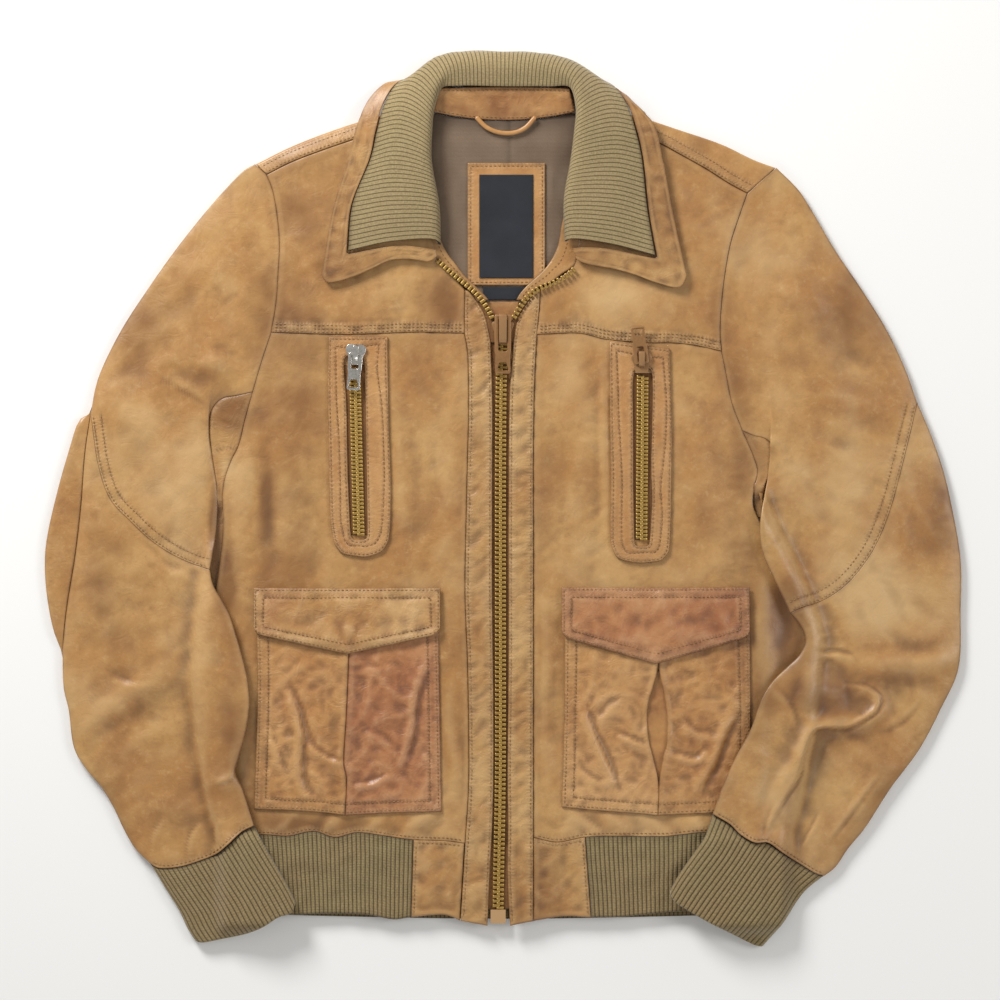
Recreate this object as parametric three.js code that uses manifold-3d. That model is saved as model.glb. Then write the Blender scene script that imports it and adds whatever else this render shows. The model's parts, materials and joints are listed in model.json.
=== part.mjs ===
// Worn leather blouson, laid flat on its back. Millimetres, +Z up, collar toward +Y.
import * as THREE from 'three';
import { mergeVertices } from 'three/addons/utils/BufferGeometryUtils.js';
import Module from 'manifold-3d';

// Driving dimensions.
const wall = 2.5;            // leather with its backing
const seam = 0.2;            // half of the joint between two sewn pieces
const edgeTop = 5.3;         // top of the front where it meets the back at the side
const fullness = 3.2;        // how much the front rises toward the middle
const neckRise = 3.6;        // lift of the body over the tucked back of the collar
const halfWidth = 250;       // torso, centre to side
const sleeveFull = 3.6;      // rise of the sleeve's top along its middle
const ribPitch = 3.7;        // hem and cuff knit
const shoulderFold = 5.6;    // thickness of the shoulder where it folds over

const tan = { color: 0xc0965f, roughness: 0.48, metalness: 0 };
const brown = { color: 0xb07f56, roughness: 0.5, metalness: 0 };
const knit = { color: 0x8c7b55, roughness: 0.95, metalness: 0 };
const cloth = { color: 0x7a6450, roughness: 0.8, metalness: 0 };
const dark = { color: 0x1c1e26, roughness: 0.8, metalness: 0 };
const brass = { color: 0xa07e32, roughness: 0.35, metalness: 0.9 };
const painted = { color: 0x8a6a48, roughness: 0.4, metalness: 0.6 };
const silver = { color: 0xb4b4b0, roughness: 0.3, metalness: 0.95 };
const tapeLook = { color: 0x9e7448, roughness: 0.9, metalness: 0 };

const jacket = new THREE.Group();
jacket.name = 'leather_jacket';

const ease = (t) => {
  const s = Math.min(1, Math.max(0, t));
  return s * s * (3 - 2 * s);
};

// Points spaced evenly along a smooth curve through the given points.
function run(points, count) {
  const path = new THREE.CatmullRomCurve3(
    points.map((p) => new THREE.Vector3(p[0], p[1], p[2] ?? 0)), false, 'centripetal');
  path.arcLengthDivisions = 400;
  return path.getSpacedPoints(count).map((p) => [p.x, p.y, p.z]);
}

// Several runs end to end, the shared ends kept once.
function chain(...runs) {
  return runs.reduce((all, next) => all.concat(next.slice(1)));
}

// More points on the same straight pieces, so that neighbours with other counts still fit.
function refine(coarse, count) {
  const cells = coarse.length - 1;
  return Array.from({ length: count + 1 }, (_, k) => {
    const t = k / count * cells;
    const m = Math.min(cells - 1, Math.floor(t));
    return [0, 1, 2].map((c) => coarse[m][c] + (coarse[m + 1][c] - coarse[m][c]) * (t - m));
  });
}

// A grid of points between four sampled edges.
function patch(bottom, top, left, right) {
  const nu = bottom.length - 1;
  const nv = left.length - 1;
  const grid = [];
  for (let j = 0; j <= nv; j += 1) {
    const row = [];
    const v = j / nv;
    for (let i = 0; i <= nu; i += 1) {
      const u = i / nu;
      const p = [0, 1, 2].map((k) => (1 - v) * bottom[i][k] + v * top[i][k]
        + (1 - u) * left[j][k] + u * right[j][k]
        - (1 - u) * (1 - v) * bottom[0][k] - u * (1 - v) * bottom[nu][k]
        - (1 - u) * v * top[0][k] - u * v * top[nu][k]);
      row.push(p);
    }
    grid.push(row);
  }
  return grid;
}

// The rim of a grid drawn in square to itself by the seam gap.
function drawIn(grid, gap = seam) {
  const nv = grid.length - 1;
  const nu = grid[0].length - 1;
  const square = (before, after, p, inside) => {
    const [tx, ty] = [after[0] - before[0], after[1] - before[1]];
    const d = Math.hypot(tx, ty) || 1;
    const side = Math.sign(tx * (inside[1] - p[1]) - ty * (inside[0] - p[0])) || 1;
    return [-ty / d * side * gap, tx / d * side * gap];
  };
  return grid.map((row, j) => row.map((p, i) => {
    let [x, y] = p;
    const push = (before, after, inside) => {
      const [dx, dy] = square(before, after, p, inside);
      x += dx;
      y += dy;
    };
    const up = [grid[Math.max(0, j - 1)][i], grid[Math.min(nv, j + 1)][i]];
    const along = [row[Math.max(0, i - 1)], row[Math.min(nu, i + 1)]];
    if (i === 0) push(...up, row[1]);
    if (i === nu) push(...up, row[nu - 1]);
    if (j === 0) push(...along, grid[1][i]);
    if (j === nv) push(...along, grid[nv - 1][i]);
    return [x, y, p[2]];
  }));
}

function addBody(name, points, faces, look) {
  const geometry = new THREE.BufferGeometry();
  let volume = 0;
  for (const [a, b, c] of faces) {
    const [p, q, r] = [points[a], points[b], points[c]];
    volume += p[0] * (q[1] * r[2] - q[2] * r[1]) + p[1] * (q[2] * r[0] - q[0] * r[2])
      + p[2] * (q[0] * r[1] - q[1] * r[0]);
  }
  const index = faces.flatMap(([a, b, c]) => (volume < 0 ? [a, c, b] : [a, b, c]));
  geometry.setAttribute('position', new THREE.Float32BufferAttribute(points.flat(), 3));
  geometry.setIndex(index);
  geometry.computeVertexNormals();
  const mesh = new THREE.Mesh(geometry, new THREE.MeshStandardMaterial(look));
  mesh.name = name;
  jacket.add(mesh);
  return mesh;
}

// Outer and inner grids of one piece, closed along their rims into one body.
function addWall(name, outer, inner, look, ring = false) {
  const nv = outer.length;
  const nu = outer[0].length;
  const points = [...outer.flat(), ...inner.flat()];
  const half = nv * nu;
  const at = (j, i) => j * nu + (i % nu);
  const cells = ring ? nu : nu - 1;
  const faces = [];
  const quad = (a, b, c, d) => {
    faces.push([a, b, c]);
    faces.push([a, c, d]);
  };
  for (let j = 0; j < nv - 1; j += 1) {
    for (let i = 0; i < cells; i += 1) {
      quad(at(j, i), at(j, i + 1), at(j + 1, i + 1), at(j + 1, i));
      quad(half + at(j, i), half + at(j + 1, i), half + at(j + 1, i + 1), half + at(j, i + 1));
    }
  }
  for (let i = 0; i < cells; i += 1) {
    quad(at(0, i), half + at(0, i), half + at(0, i + 1), at(0, i + 1));
    quad(at(nv - 1, i), at(nv - 1, i + 1), half + at(nv - 1, i + 1), half + at(nv - 1, i));
  }
  if (!ring) {
    for (let j = 0; j < nv - 1; j += 1) {
      quad(at(j, 0), at(j + 1, 0), half + at(j + 1, 0), half + at(j, 0));
      quad(at(j, nu - 1), half + at(j, nu - 1), half + at(j + 1, nu - 1), at(j + 1, nu - 1));
    }
  }
  return addBody(name, points, faces, look);
}

// A piece lying level: its top from one rule, its underside a fixed depth below.
function addLaid(name, grid, topOf, depth, look, ring = false) {
  const level = (drop) => grid.map((row, j) => row.map((p, i) => {
    const top = topOf(p[0], p[1], i, j);
    return [p[0], p[1], top - drop];
  }));
  return addWall(name, level(0), level(depth), look, ring);
}

// Distance from a point in plan to a line of points, with the place along it from 0 to 1.
function nearLine(x, y, line) {
  let best = { gap: 1e9, along: 0 };
  for (let k = 0; k < line.length - 1; k += 1) {
    const [ax, ay] = line[k];
    const [bx, by] = line[k + 1];
    const len = (bx - ax) ** 2 + (by - ay) ** 2;
    const t = Math.min(1, Math.max(0, ((x - ax) * (bx - ax) + (y - ay) * (by - ay)) / len));
    const gap = Math.hypot(x - ax - t * (bx - ax), y - ay - t * (by - ay));
    if (gap < best.gap) best = { gap, along: (k + t) / (line.length - 1) };
  }
  return best;
}

// A soft fold along a line: highest in the middle of its length, fading at both ends.
function fold(x, y, line, height, width) {
  const { gap, along } = nearLine(x, y, line);
  return height * Math.exp(-((gap / width) ** 2)) * (0.25 + 0.75 * Math.sin(Math.PI * along));
}

// Height of the front's outer face.
const neckLift = (x, y) => neckRise * ease((116 - Math.abs(x)) / 30) * ease((y - 280) / 26);
const torsoTop = (x, y) => {
  const across = Math.min(1, Math.abs(x) / halfWidth);
  const swell = 0.45 * Math.sin(x / 43 + 1) * Math.cos(y / 57) * (1 - across ** 2);
  return edgeTop + fullness * (1 - across ** 4) + swell + neckLift(x, y);
};

// Left is the side at -X. Seam lines in plan, hem to neck or centre to side.
const placketOutLowL = [[-37, -359], [-33, -293], [-30, -245], [-30, -190], [-31, -136],
  [-33, -82], [-32, -14], [-31, 31], [-30, 72], [-31, 126], [-33.6, 141]];
const placketOutHighL = [[-33.6, 141], [-33.6, 161], [-33, 178]];
const placketInLowL = [[-14, -363], [-12, -317], [-10, -278], [-9, -239], [-9, -171],
  [-10, -86], [-10, -1], [-10, 90], [-11.4, 135]];
const placketInHighL = [[-11.4, 135], [-16.6, 157], [-23, 168], [-29.7, 177]];
const neckEdgeL = [[-33, 178], [-41, 187], [-49, 196], [-57, 204], [-60, 218], [-64, 248],
  [-68, 286], [-68, 306], [-66, 322]];
const yokeSeamL = [[-198, 142], [-173, 141], [-135, 140], [-103, 141], [-76, 142], [-54, 141.5],
  [-33.6, 141]];
const sideLowL = [[-231, -286], [-240, -256], [-248, -205], [-252, -154], [-249, -103],
  [-243, -60], [-240, -37], [-239, -18], [-240, 2]];
const armLowL = [[-240, 2], [-238, 16], [-232, 33], [-226, 45], [-220, 69], [-214, 91]];
const armMidL = [[-214, 91], [-206, 118], [-198, 142]];
const armHighL = [[-198, 142], [-194, 167], [-192, 195], [-191, 216], [-193, 241], [-197, 263],
  [-202, 276]];
const armTipL = [[-202, 276], [-212, 285]];
const shoulderSeamL = [[-202, 276], [-182, 286], [-156, 296], [-130, 305], [-97, 315], [-66, 322]];
const shoulderTopL = [[-212, 285], [-184, 299], [-157, 310], [-125, 321], [-93, 330], [-66, 337]];
const hemSeamL = [[-231, -286], [-216, -286], [-201, -286], [-184, -287], [-162, -283],
  [-144, -288], [-125, -284], [-93, -288], [-77, -290], [-50, -291], [-33, -293]];
const hemBotL = [[-224, -354], [-183, -354], [-144, -353], [-116, -354], [-93, -358],
  [-79, -356], [-49, -354], [-37, -359]];

const placketOutLowR = [[25, -359], [25, -317], [25, -288], [25, -239], [25, -137], [25, -28],
  [25, 45], [26, 99], [28, 140]];
const placketOutHighR = [[28, 140], [30, 161], [31, 179]];
const placketInLowR = [[5, -363], [3, -317], [3.5, -278], [3, -239], [4, -128], [4, -1], [5, 90],
  [8, 135]];
const placketInHighR = [[8, 135], [12, 154], [19, 166], [27.5, 178]];
const neckEdgeR = [[31, 179], [42, 184], [50, 190], [58, 197], [62, 206], [63, 220], [65, 248],
  [69, 286], [69, 306], [66, 322]];
const yokeSeamR = [[28, 140], [65, 141], [86, 136], [124, 133], [143, 133], [162, 131],
  [185, 126]];
const sideLowR = [[231, -286], [240, -256], [249, -205], [254, -154], [251, -111], [243, -80],
  [230, -45], [219, -22], [212, -4], [214, 13]];
const armLowR = [[214, 13], [216, 24], [212, 37], [203, 58]];
const armMidR = [[203, 58], [194, 82], [188, 112], [185, 126]];
const armHighR = [[185, 126], [184, 144], [185, 164], [188, 191], [193, 218], [200, 240],
  [207, 260]];
const armTipR = [[207, 260], [219, 271], [232, 282]];
const shoulderSeamR = [[207, 260], [192, 268], [173, 280], [148, 294], [129, 304], [99, 315],
  [66, 322]];
const shoulderTopR = [[232, 282], [213, 289], [186, 302], [145, 316], [124, 323], [94, 331],
  [66, 337]];
const hemSeamR = [[25, -288], [45, -292], [67, -288], [82, -287], [105, -287], [138, -287],
  [170, -284], [201, -286], [231, -286]];
const hemBotR = [[25, -359], [51, -355], [74, -356], [97, -356], [127, -353], [156, -351],
  [192, -353], [224, -354]];

// Shared counts, so that neighbours meet at the same points.
const rowsLow = 12;
const acrossFront = 5;
const rowsHem = 1;
const armLowCells = 3;
const armMidCells = 1;
const armHighCells = 5;
const neckCells = armHighCells - 1;
const rowsPlacket = 16;
const sleeveAcross = armMidCells + armHighCells + 1;

// Lower fronts.
const seamRunL = run(yokeSeamL, acrossFront);
const seamRunR = run(yokeSeamR, acrossFront);
const hemRunL = run(hemSeamL, acrossFront);
const hemRunR = run(hemSeamR, acrossFront);
const outAboveHem = (line, y, count) => run(line.filter((p) => p[1] >= y), count);
const frontEdgeL = outAboveHem(placketOutLowL, -293, rowsLow);
const frontEdgeR = outAboveHem(placketOutLowR, -288, rowsLow);
const armFootL = chain(run(armLowL, armLowCells), run(armMidL, armMidCells));
const armFootR = chain(run(armLowR, armLowCells), run(armMidR, armMidCells));
const sideCells = rowsLow - armLowCells - armMidCells;
const frontSideL = chain(run(sideLowL, sideCells), armFootL);
const frontSideR = chain(run(sideLowR, sideCells), armFootR);
const frontLowL = drawIn(patch(hemRunL, seamRunL, frontSideL, frontEdgeL));
const frontLowR = drawIn(patch(hemRunR, seamRunR, frontEdgeR, frontSideR));
addLaid('front_lower_left', frontLowL, torsoTop, wall, tan);
addLaid('front_lower_right', frontLowR, torsoTop, wall, tan);

// Yokes, their lower edge laid up by the turned seam.
const yokeTop = (grid) => (x, y, i, j) => torsoTop(x, y) + (j <= 1 ? 0.8 : 0.4);
const yokeInL = chain(run(placketOutHighL, 1), run(neckEdgeL, neckCells));
const yokeInR = chain(run(placketOutHighR, 1), run(neckEdgeR, neckCells));
const yokeL = drawIn(patch(seamRunL, run(shoulderSeamL, acrossFront), run(armHighL, armHighCells), yokeInL));
const yokeR = drawIn(patch(seamRunR, [...run(shoulderSeamR, acrossFront)].reverse(), yokeInR,
  run(armHighR, armHighCells)));
addLaid('front_yoke_left', yokeL, yokeTop(yokeL), wall + 0.4, tan);
addLaid('front_yoke_right', yokeR, yokeTop(yokeR), wall + 0.4, tan);

// Plackets and hem blocks stand a little above the fronts.
const placketRise = (x, y) => torsoTop(x, y) + 1.2;
const placketOutL = chain(run(placketOutLowL, rowsPlacket), run(placketOutHighL, 2));
const placketInL = chain(run(placketInLowL, rowsPlacket), run(placketInHighL, 2));
const placketOutR = chain(run(placketOutLowR, rowsPlacket), run(placketOutHighR, 2));
const placketInR = chain(run(placketInLowR, rowsPlacket), run(placketInHighR, 2));
const straight = (a, b, n) => refine([a, b].map((p) => [p[0], p[1], p[2] ?? 0]), n);
const between = (left, right, n) => patch(straight(left[0], right[0], n),
  straight(left.at(-1), right.at(-1), n), left, right);
const clear = 0.6;
addLaid('placket_left', drawIn(between(placketOutL, placketInL, 2), clear), placketRise, 2.8, brown);
addLaid('placket_right', drawIn(between(placketInR, placketOutR, 2), clear), placketRise, 2.8,
  brown);

// Rib hem: knit ribs stand on the outer face, the leather block closes it at the placket.
const yAt = (line, x) => {
  const k = Math.max(1, line.findIndex((p, i) => i > 0 && (p[0] >= x || i === line.length - 1)));
  const [a, b] = [line[k - 1], line[k]];
  return a[1] + (b[1] - a[1]) * (x - a[0]) / (b[0] - a[0]);
};
const footRunL = run(hemBotL, acrossFront);
const footRunR = run(hemBotR, acrossFront);
const hemRise = (x, y) => torsoTop(x, y) + 0.1;
function hemGrid(topLine, footLine, from, to, count) {
  const along = (line, ends) => Array.from({ length: count + 1 }, (_, k) => {
    const x = ends[0] + (ends[1] - ends[0]) * k / count;
    return [x, yAt(line, x), 0];
  });
  const upper = along(topLine, [from[1], to[1]]);
  const lower = along(footLine, [from[0], to[0]]);
  return patch(lower, upper, straight(lower[0], upper[0], rowsHem),
    straight(lower.at(-1), upper.at(-1), rowsHem));
}
const ribs = (width) => 2 * Math.round(width / ribPitch);
addLaid('hem_rib_left', drawIn(hemGrid(hemRunL, footRunL, [-224, -231], [-79, -77], ribs(150))),
  (x, y, i) => hemRise(x, y) + (i % 2) * 0.9, wall, knit);
addLaid('hem_rib_right', drawIn(hemGrid(hemRunR, footRunR, [74, 69], [224, 231], ribs(150))),
  (x, y, i) => hemRise(x, y) + (i % 2) * 0.9, wall, knit);
const blockRise = (x, y) => torsoTop(x, y) + 0.9;
addLaid('hem_block_left', drawIn(hemGrid(hemRunL, footRunL, [-79, -77], [-37.6, -33.6], 12)),
  blockRise, wall, brown);
addLaid('hem_block_right', drawIn(hemGrid(hemRunR, footRunR, [25, 25.2], [74, 69], 12)),
  blockRise, wall, brown);

// Back panel, flat on the floor, lifted only over the tucked collar.
const backShoulder = (seamLine, topLine, n) => {
  const s = run(seamLine, n);
  const t = run(topLine, n);
  return s.map((p, k) => {
    const d = Math.hypot(p[0] - t[k][0], p[1] - t[k][1]);
    const reach = 22 / Math.max(d, 1);
    return [t[k][0] + (p[0] - t[k][0]) * reach, t[k][1] + (p[1] - t[k][1]) * reach, 0];
  });
};
const backSeamL = backShoulder(shoulderSeamL, shoulderTopL, acrossFront);
const backSeamR = backShoulder(shoulderSeamR, shoulderTopR, acrossFront);
const neckBack = run([backSeamL.at(-1), [-40, 318], [0, 321], [40, 318], backSeamR.at(-1)], 4);
const backAcross = 2 * acrossFront + 4;
const backTop = chain(backSeamL, neckBack, [...backSeamR].reverse());
const backFoot = run([[-231, -286], [-100, -287], [0, -288], [100, -287], [231, -286]], backAcross);
const backLeft = chain(run(sideLowL, sideCells), armFootL,
  run([...armHighL.slice(0, -1), backSeamL[0]], armHighCells));
const backRight = chain(run(sideLowR, sideCells), armFootR,
  run([...armHighR.slice(0, -1), backSeamR[0]], armHighCells));
const backGrid = drawIn(patch(backFoot, backTop, backLeft, backRight));
addLaid('back_panel', backGrid, (x, y) => wall + neckLift(x, y), wall, tan);
const backHem = drawIn(patch(run([[-224, -354], [0, -358], [224, -354]], backAcross), backFoot,
  straight([-224, -354], [-231, -286], rowsHem), straight([224, -354], [231, -286], rowsHem)));
addLaid('back_hem_rib', backHem, () => wall, wall, knit);

// Shoulder pieces fold over the top edge and reach down the back to its seam.
function addShoulder(name, seamLine, topLine, n) {
  const s = run(seamLine, n);
  const t = run(topLine, n);
  const back = backShoulder(seamLine, topLine, n);
  const turns = [90, 60, 30, 0, -30, -60, -90];
  const face = (depth) => s.map((p, k) => {
    const [nx, ny] = [t[k][0] - p[0], t[k][1] - p[1]];
    const d = Math.hypot(nx, ny);
    const [ux, uy] = [nx / d, ny / d];
    const low = neckLift(t[k][0], t[k][1]);
    const r = shoulderFold / 2;
    const [cx, cy] = [t[k][0] - ux * r, t[k][1] - uy * r];
    const row = [[p[0] + ux * 0.4, p[1] + uy * 0.4, torsoTop(p[0], p[1]) - depth]];
    const mid = 0.5 * (torsoTop(p[0], p[1]) + low + shoulderFold);
    row.push([(p[0] + cx) / 2, (p[1] + cy) / 2, mid - depth + 0.3]);
    for (const turn of turns) {
      const a = turn * Math.PI / 180;
      const q = r - depth;
      row.push([cx + ux * q * Math.cos(a), cy + uy * q * Math.cos(a), low + r + q * Math.sin(a)]);
    }
    row.push([back[k][0] + ux * 0.4, back[k][1] + uy * 0.4, neckLift(back[k][0], back[k][1])
      + depth]);
    return row;
  });
  const trim = (rows) => rows.map((row, k) => {
    const pull = k === 0 ? 1 : (k === rows.length - 1 ? -1 : 0);
    const to = rows[k + (pull || 0)];
    return row.map((p, i) => {
      const d = Math.hypot(to[i][0] - p[0], to[i][1] - p[1]) || 1;
      return pull ? [p[0] + (to[i][0] - p[0]) / d * 0.5, p[1] + (to[i][1] - p[1]) / d * 0.5, p[2]]
        : p;
    });
  });
  addWall(name, trim(face(0)), trim(face(wall)), tan);
}
addShoulder('shoulder_left', shoulderSeamL, shoulderTopL, acrossFront);
addShoulder('shoulder_right', shoulderSeamR, shoulderTopR, acrossFront);

// Pockets: an outer and an inner half meet at the centre pleat, under a pointed flap.
const over = (rise) => (x, y) => torsoTop(x, y) + rise;
const pleated = (line, height, width) => (x, y) => torsoTop(x, y) + 2.4
  + height * Math.exp(-((nearLine(x, y, line).gap / width) ** 2));
const pocketCells = 6;
const pleatL = [[-135, -269], [-134, -236], [-136, -226], [-134, -185], [-132, -133], [-132, -86]];
const pleatR = [[131, -269], [132, -243], [131, -177], [130, -86]];
const pocketFootL = [[-213, -264], [-166, -266], [-135, -269]];
const pocketFootMidL = [[-135, -269], [-93, -267], [-53, -266]];
const pocketOutL = [[-213, -264], [-211, -207], [-210, -162], [-211, -86]];
const pocketInL = [[-53, -266], [-54, -207], [-55, -148], [-56, -86]];
const pocketFootR = [[131, -269], [177, -267], [209, -263]];
const pocketFootMidR = [[49, -262], [68, -264], [131, -269]];
const pocketInR = [[49, -262], [51, -192], [52, -86]];
const pocketOutR = [[209, -263], [210, -195], [209, -86]];
function addPocket(name, foot, left, right) {
  const top = straight(left.at(-1), right.at(-1), pocketCells);
  const grid = patch(run(foot, pocketCells), top, run(left, 9), run(right, 9));
  const rise = name.includes('_left') ? pleated(pleatL, 1.6, 7) : pleated(pleatR, 2, 8);
  addLaid(name, drawIn(grid), rise, 2, name.endsWith('left_inner') ? brown : tan);
}
addPocket('pocket_left_outer', pocketFootL, pocketOutL, pleatL);
addPocket('pocket_left_inner', pocketFootMidL, pleatL, pocketInL);
addPocket('pocket_right_inner', pocketFootMidR, pocketInR, pleatR);
addPocket('pocket_right_outer', pocketFootR, pleatR, pocketOutR);
const flapTop = (x, y) => torsoTop(x, y) + 4.9 + 1.4 * ease((y + 100) / -20);
const flapL = between(run([[-213, -114], [-213, -98], [-213, -75]], 3),
  run([[-54, -114], [-54, -98], [-55, -76]], 3), 10);
const flapR = between(run([[49, -117], [49, -98], [50, -76]], 3),
  run([[210, -117], [210, -98], [208, -74]], 3), 10);
const pointed = (grid, tip) => grid.map((row, j) => row.map((p, i) => {
  const reach = 1 - Math.abs(i / 5 - 1);
  return [p[0], p[1] - tip * reach * (1 - j / 3), 0];
}));
addLaid('pocket_flap_left', pointed(flapL, 18),
  (x, y) => Math.max(flapTop(x, y), pleated(pleatL, 1.6, 9)(x, y) + 3.3), 2.3, brown);
addLaid('pocket_flap_right', pointed(flapR, 23),
  (x, y) => Math.max(flapTop(x, y), pleated(pleatR, 2, 10)(x, y) + 3.3), 2.3, brown);

// Chest welts ring a slot; the zip lies in the slot.
const weltL = [[-149, 138], [-150, 96], [-149, 26], [-148, -17], [-145, -38], [-138, -47],
  [-117, -50], [-103, -45], [-97, -34], [-96, 11], [-98, 68], [-99, 138]];
const slotL = [[-137, 122], [-134, 82], [-133, 26], [-131, -24], [-130, -32], [-127, -35],
  [-120, -35], [-116, -33], [-116, -17], [-117, 39], [-118, 96], [-119, 122]];
const weltR = [[90, 134], [90, 68], [91, 11], [90, -38], [96, -51], [115, -55], [134, -53],
  [141, -45], [142, -17], [143, 54], [142, 90], [141, 128]];
const slotR = [[109, 110], [110, 54], [110, 11], [111, -38], [113, -40], [118, -40], [122, -40],
  [124, -38], [126, -3], [125, 32], [126, 54], [127, 112]];
function addWelt(name, outline, slot) {
  const dense = (points) => refine([...points, points[0]].map((p) => [p[0], p[1], 0]),
    3 * points.length).slice(0, -1);
  const [outside, inside] = [dense(outline), dense(slot)];
  addLaid(name, [outside, inside], over(2.9), 2.4, tan, true);
}
addWelt('chest_welt_left', weltL, slotL);
addWelt('chest_welt_right', weltR, slotR);
const chestChain = (x0, y0, x1, y1) => between(
  run([[x1 - 5.3, y1], [(x0 + x1) / 2 - 5.3, (y0 + y1) / 2], [x0 - 5.3, y0]], 9),
  run([[x1 + 5.3, y1], [(x0 + x1) / 2 + 5.3, (y0 + y1) / 2], [x0 + 5.3, y0]], 9), 4);
const chainCrown = (x, y, i) => torsoTop(x, y) + (i === 0 || i === 4 ? 1.3 : 3);
addLaid('chest_zip_left', chestChain(-127, 106, -123.5, -31), chainCrown,
  0.8, brass);
addLaid('chest_zip_right', chestChain(118, 92, 117, -35), chainCrown, 0.8, brass);

// Sleeves lie beside the body on the floor and climb over its edge lower down.
const sleeveInUpL = [[-214, 91], [-228, 88], [-241, 85], [-250, 74], [-251, 54], [-248, 33],
  [-244, 6], [-244, -14], [-246, -37], [-250, -60]];
const sleeveInLowL = [[-250, -60], [-247, -73], [-235, -94], [-228, -114], [-218, -152],
  [-216, -171], [-218, -192], [-225, -220], [-228, -232], [-222, -246], [-219, -255],
  [-216, -264], [-212, -277]];
const sleeveOutUpL = [[-212, 285], [-221, 280], [-238, 263], [-253, 246], [-280, 212],
  [-304, 178], [-326, 144], [-343, 110], [-348, 95], [-352, 73]];
const sleeveSeamLowL = [[-352, 73], [-357, 38], [-360, -3], [-365, -47], [-372, -90],
  [-375, -116], [-376, -133]];
const sleeveOutLowL = [[-376, -133], [-375, -162], [-371, -179], [-366, -213], [-356, -230],
  [-342, -247], [-332, -264], [-324, -281], [-314, -298], [-302, -310]];
const sleeveEdgeL = [[-352, 73], [-361, 68], [-371, 40], [-380, 8], [-388, -26], [-391, -48],
  [-390, -77], [-384, -111], [-376.5, -133]];
const elbowL = [[-250, -60], [-266, -55], [-283, -47], [-301, -35], [-318, -19], [-334, -2],
  [-344, 23], [-352, 73]];
const cuffSeamL = [[-212, -277], [-222, -282], [-234, -293], [-245, -302], [-262, -309],
  [-276, -313], [-294, -314], [-302, -310]];
const cuffEndL = [[-176, -342], [-180, -351], [-191, -355], [-205, -364], [-219, -370],
  [-241, -375], [-258, -378], [-263, -377]];
const cuffInL = [[-212, -277], [-198, -302], [-184, -326], [-176, -342]];
const cuffOutL = [[-302, -310], [-290, -330], [-277, -351], [-270, -366], [-263, -377]];

const sleeveInUpR = [[203, 58], [213, 54], [223, 51], [231, 42], [228, 27], [223, 8], [219, -8],
  [217, -26], [220, -47], [230, -69], [243, -97]];
const sleeveInLowR = [[243, -97], [252, -108], [255, -120], [251, -132], [241, -142],
  [227, -156], [219, -169], [209, -196], [197, -218], [186, -242], [177, -267]];
const sleeveOutUpR = [[232, 282], [251, 263], [262, 246], [282, 212], [305, 178], [326, 144],
  [342, 110], [352, 82]];
const sleeveOutLowR = [[352, 82], [362, 59], [374, 25], [382, -9], [389, -52], [389, -94],
  [387, -145], [372, -179], [354, -213], [329, -247], [307, -281], [293, -298], [282, -314],
  [273, -321]];
const elbowR = [[243, -97], [253, -92], [270, -87], [291, -73], [312, -47], [326, -17],
  [339, 29], [352, 82]];
const cuffSeamR = [[177, -267], [192, -276], [200, -284], [213, -291], [223, -291],
  [235, -299], [251, -310], [266, -319], [273, -321]];
const cuffInR = [[177, -267], [170, -286], [159, -302], [148, -318], [140, -332]];
const cuffEndR = [[140, -332], [143, -340], [159, -351], [186, -366], [213, -380], [220, -382]];
const cuffOutR = [[273, -321], [257, -334], [241, -356], [227, -374], [220, -382]];

const xAt = (line, y) => {
  const top = line.at(-1);
  if (y >= top[1]) return Math.abs(top[0]);
  if (y <= line[0][1]) return Math.abs(line[0][0]);
  const k = line.findIndex((p) => p[1] > y);
  const [a, b] = [line[k - 1], line[k]];
  return Math.abs(a[0] + (b[0] - a[0]) * (y - a[1]) / (b[1] - a[1]));
};
const climb = (side) => (x, y) => {
  const left = side === 'left';
  const edge = xAt(left ? sideLowL : sideLowR, y);
  const near = ease((edge + 19 - Math.abs(x)) / 17);
  const down = left ? ease((-18 - y) / 46) : ease((18 - y) / 30);
  const foot = ease((y + 376) / 17);
  const pad = 1.8 + 2.3 * ease((226 - Math.abs(x)) / 10) + 2.9 * ease((-280 - y) / 10);
  return near * down * foot * (torsoTop(x, y) + pad);
};

// Large folds of the sleeves: line in plan, height, half width.
const foldsL = [
  [[[-362, -196], [-325, -168], [-280, -142]], 3.2, 11],
  [[[-218, -196], [-229, -233], [-247, -241]], 3.5, 8],
  [[[-350, 96], [-300, 60], [-258, -30]], 2.4, 16],
  [[[-205, 96], [-236, 112], [-262, 122]], 2.6, 9],
];
const foldsR = [
  [[[301, -139], [340, -141], [382, -137]], 4.5, 11],
  [[[316, -163], [319, -177], [309, -188], [284, -190], [264, -195], [257, -204],
    [249, -223], [235, -245], [226, -272]], 6, 9],
  [[[248, -160], [268, -166], [292, -162]], 5.5, 20],
  [[[230, 212], [270, 120], [281, 85], [273, 48]], 3.2, 17],
];
const foldSum = (folds) => (x, y) => folds.reduce((sum, [line, high, wide]) => sum
  + fold(x, y, line, high, wide), 0);

const crown = (v) => Math.sqrt(1 - Math.abs(2 * v - 1) ** 4);
const sleeveTop = (side, folds, across, length, upper) => (x, y, i, j) => {
  const base = climb(side)(x, y);
  const rise = base + Math.min(2.9, base) + edgeTop + sleeveFull * crown(j / across);
  const rim = Math.min(1, crown(j / across) * 1.2);
  const full = rise + foldSum(folds)(x, y) * rim;
  return upper ? full + (torsoTop(x, y) - full) * (1 - ease(i / length / 0.3)) : full;
};

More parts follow.
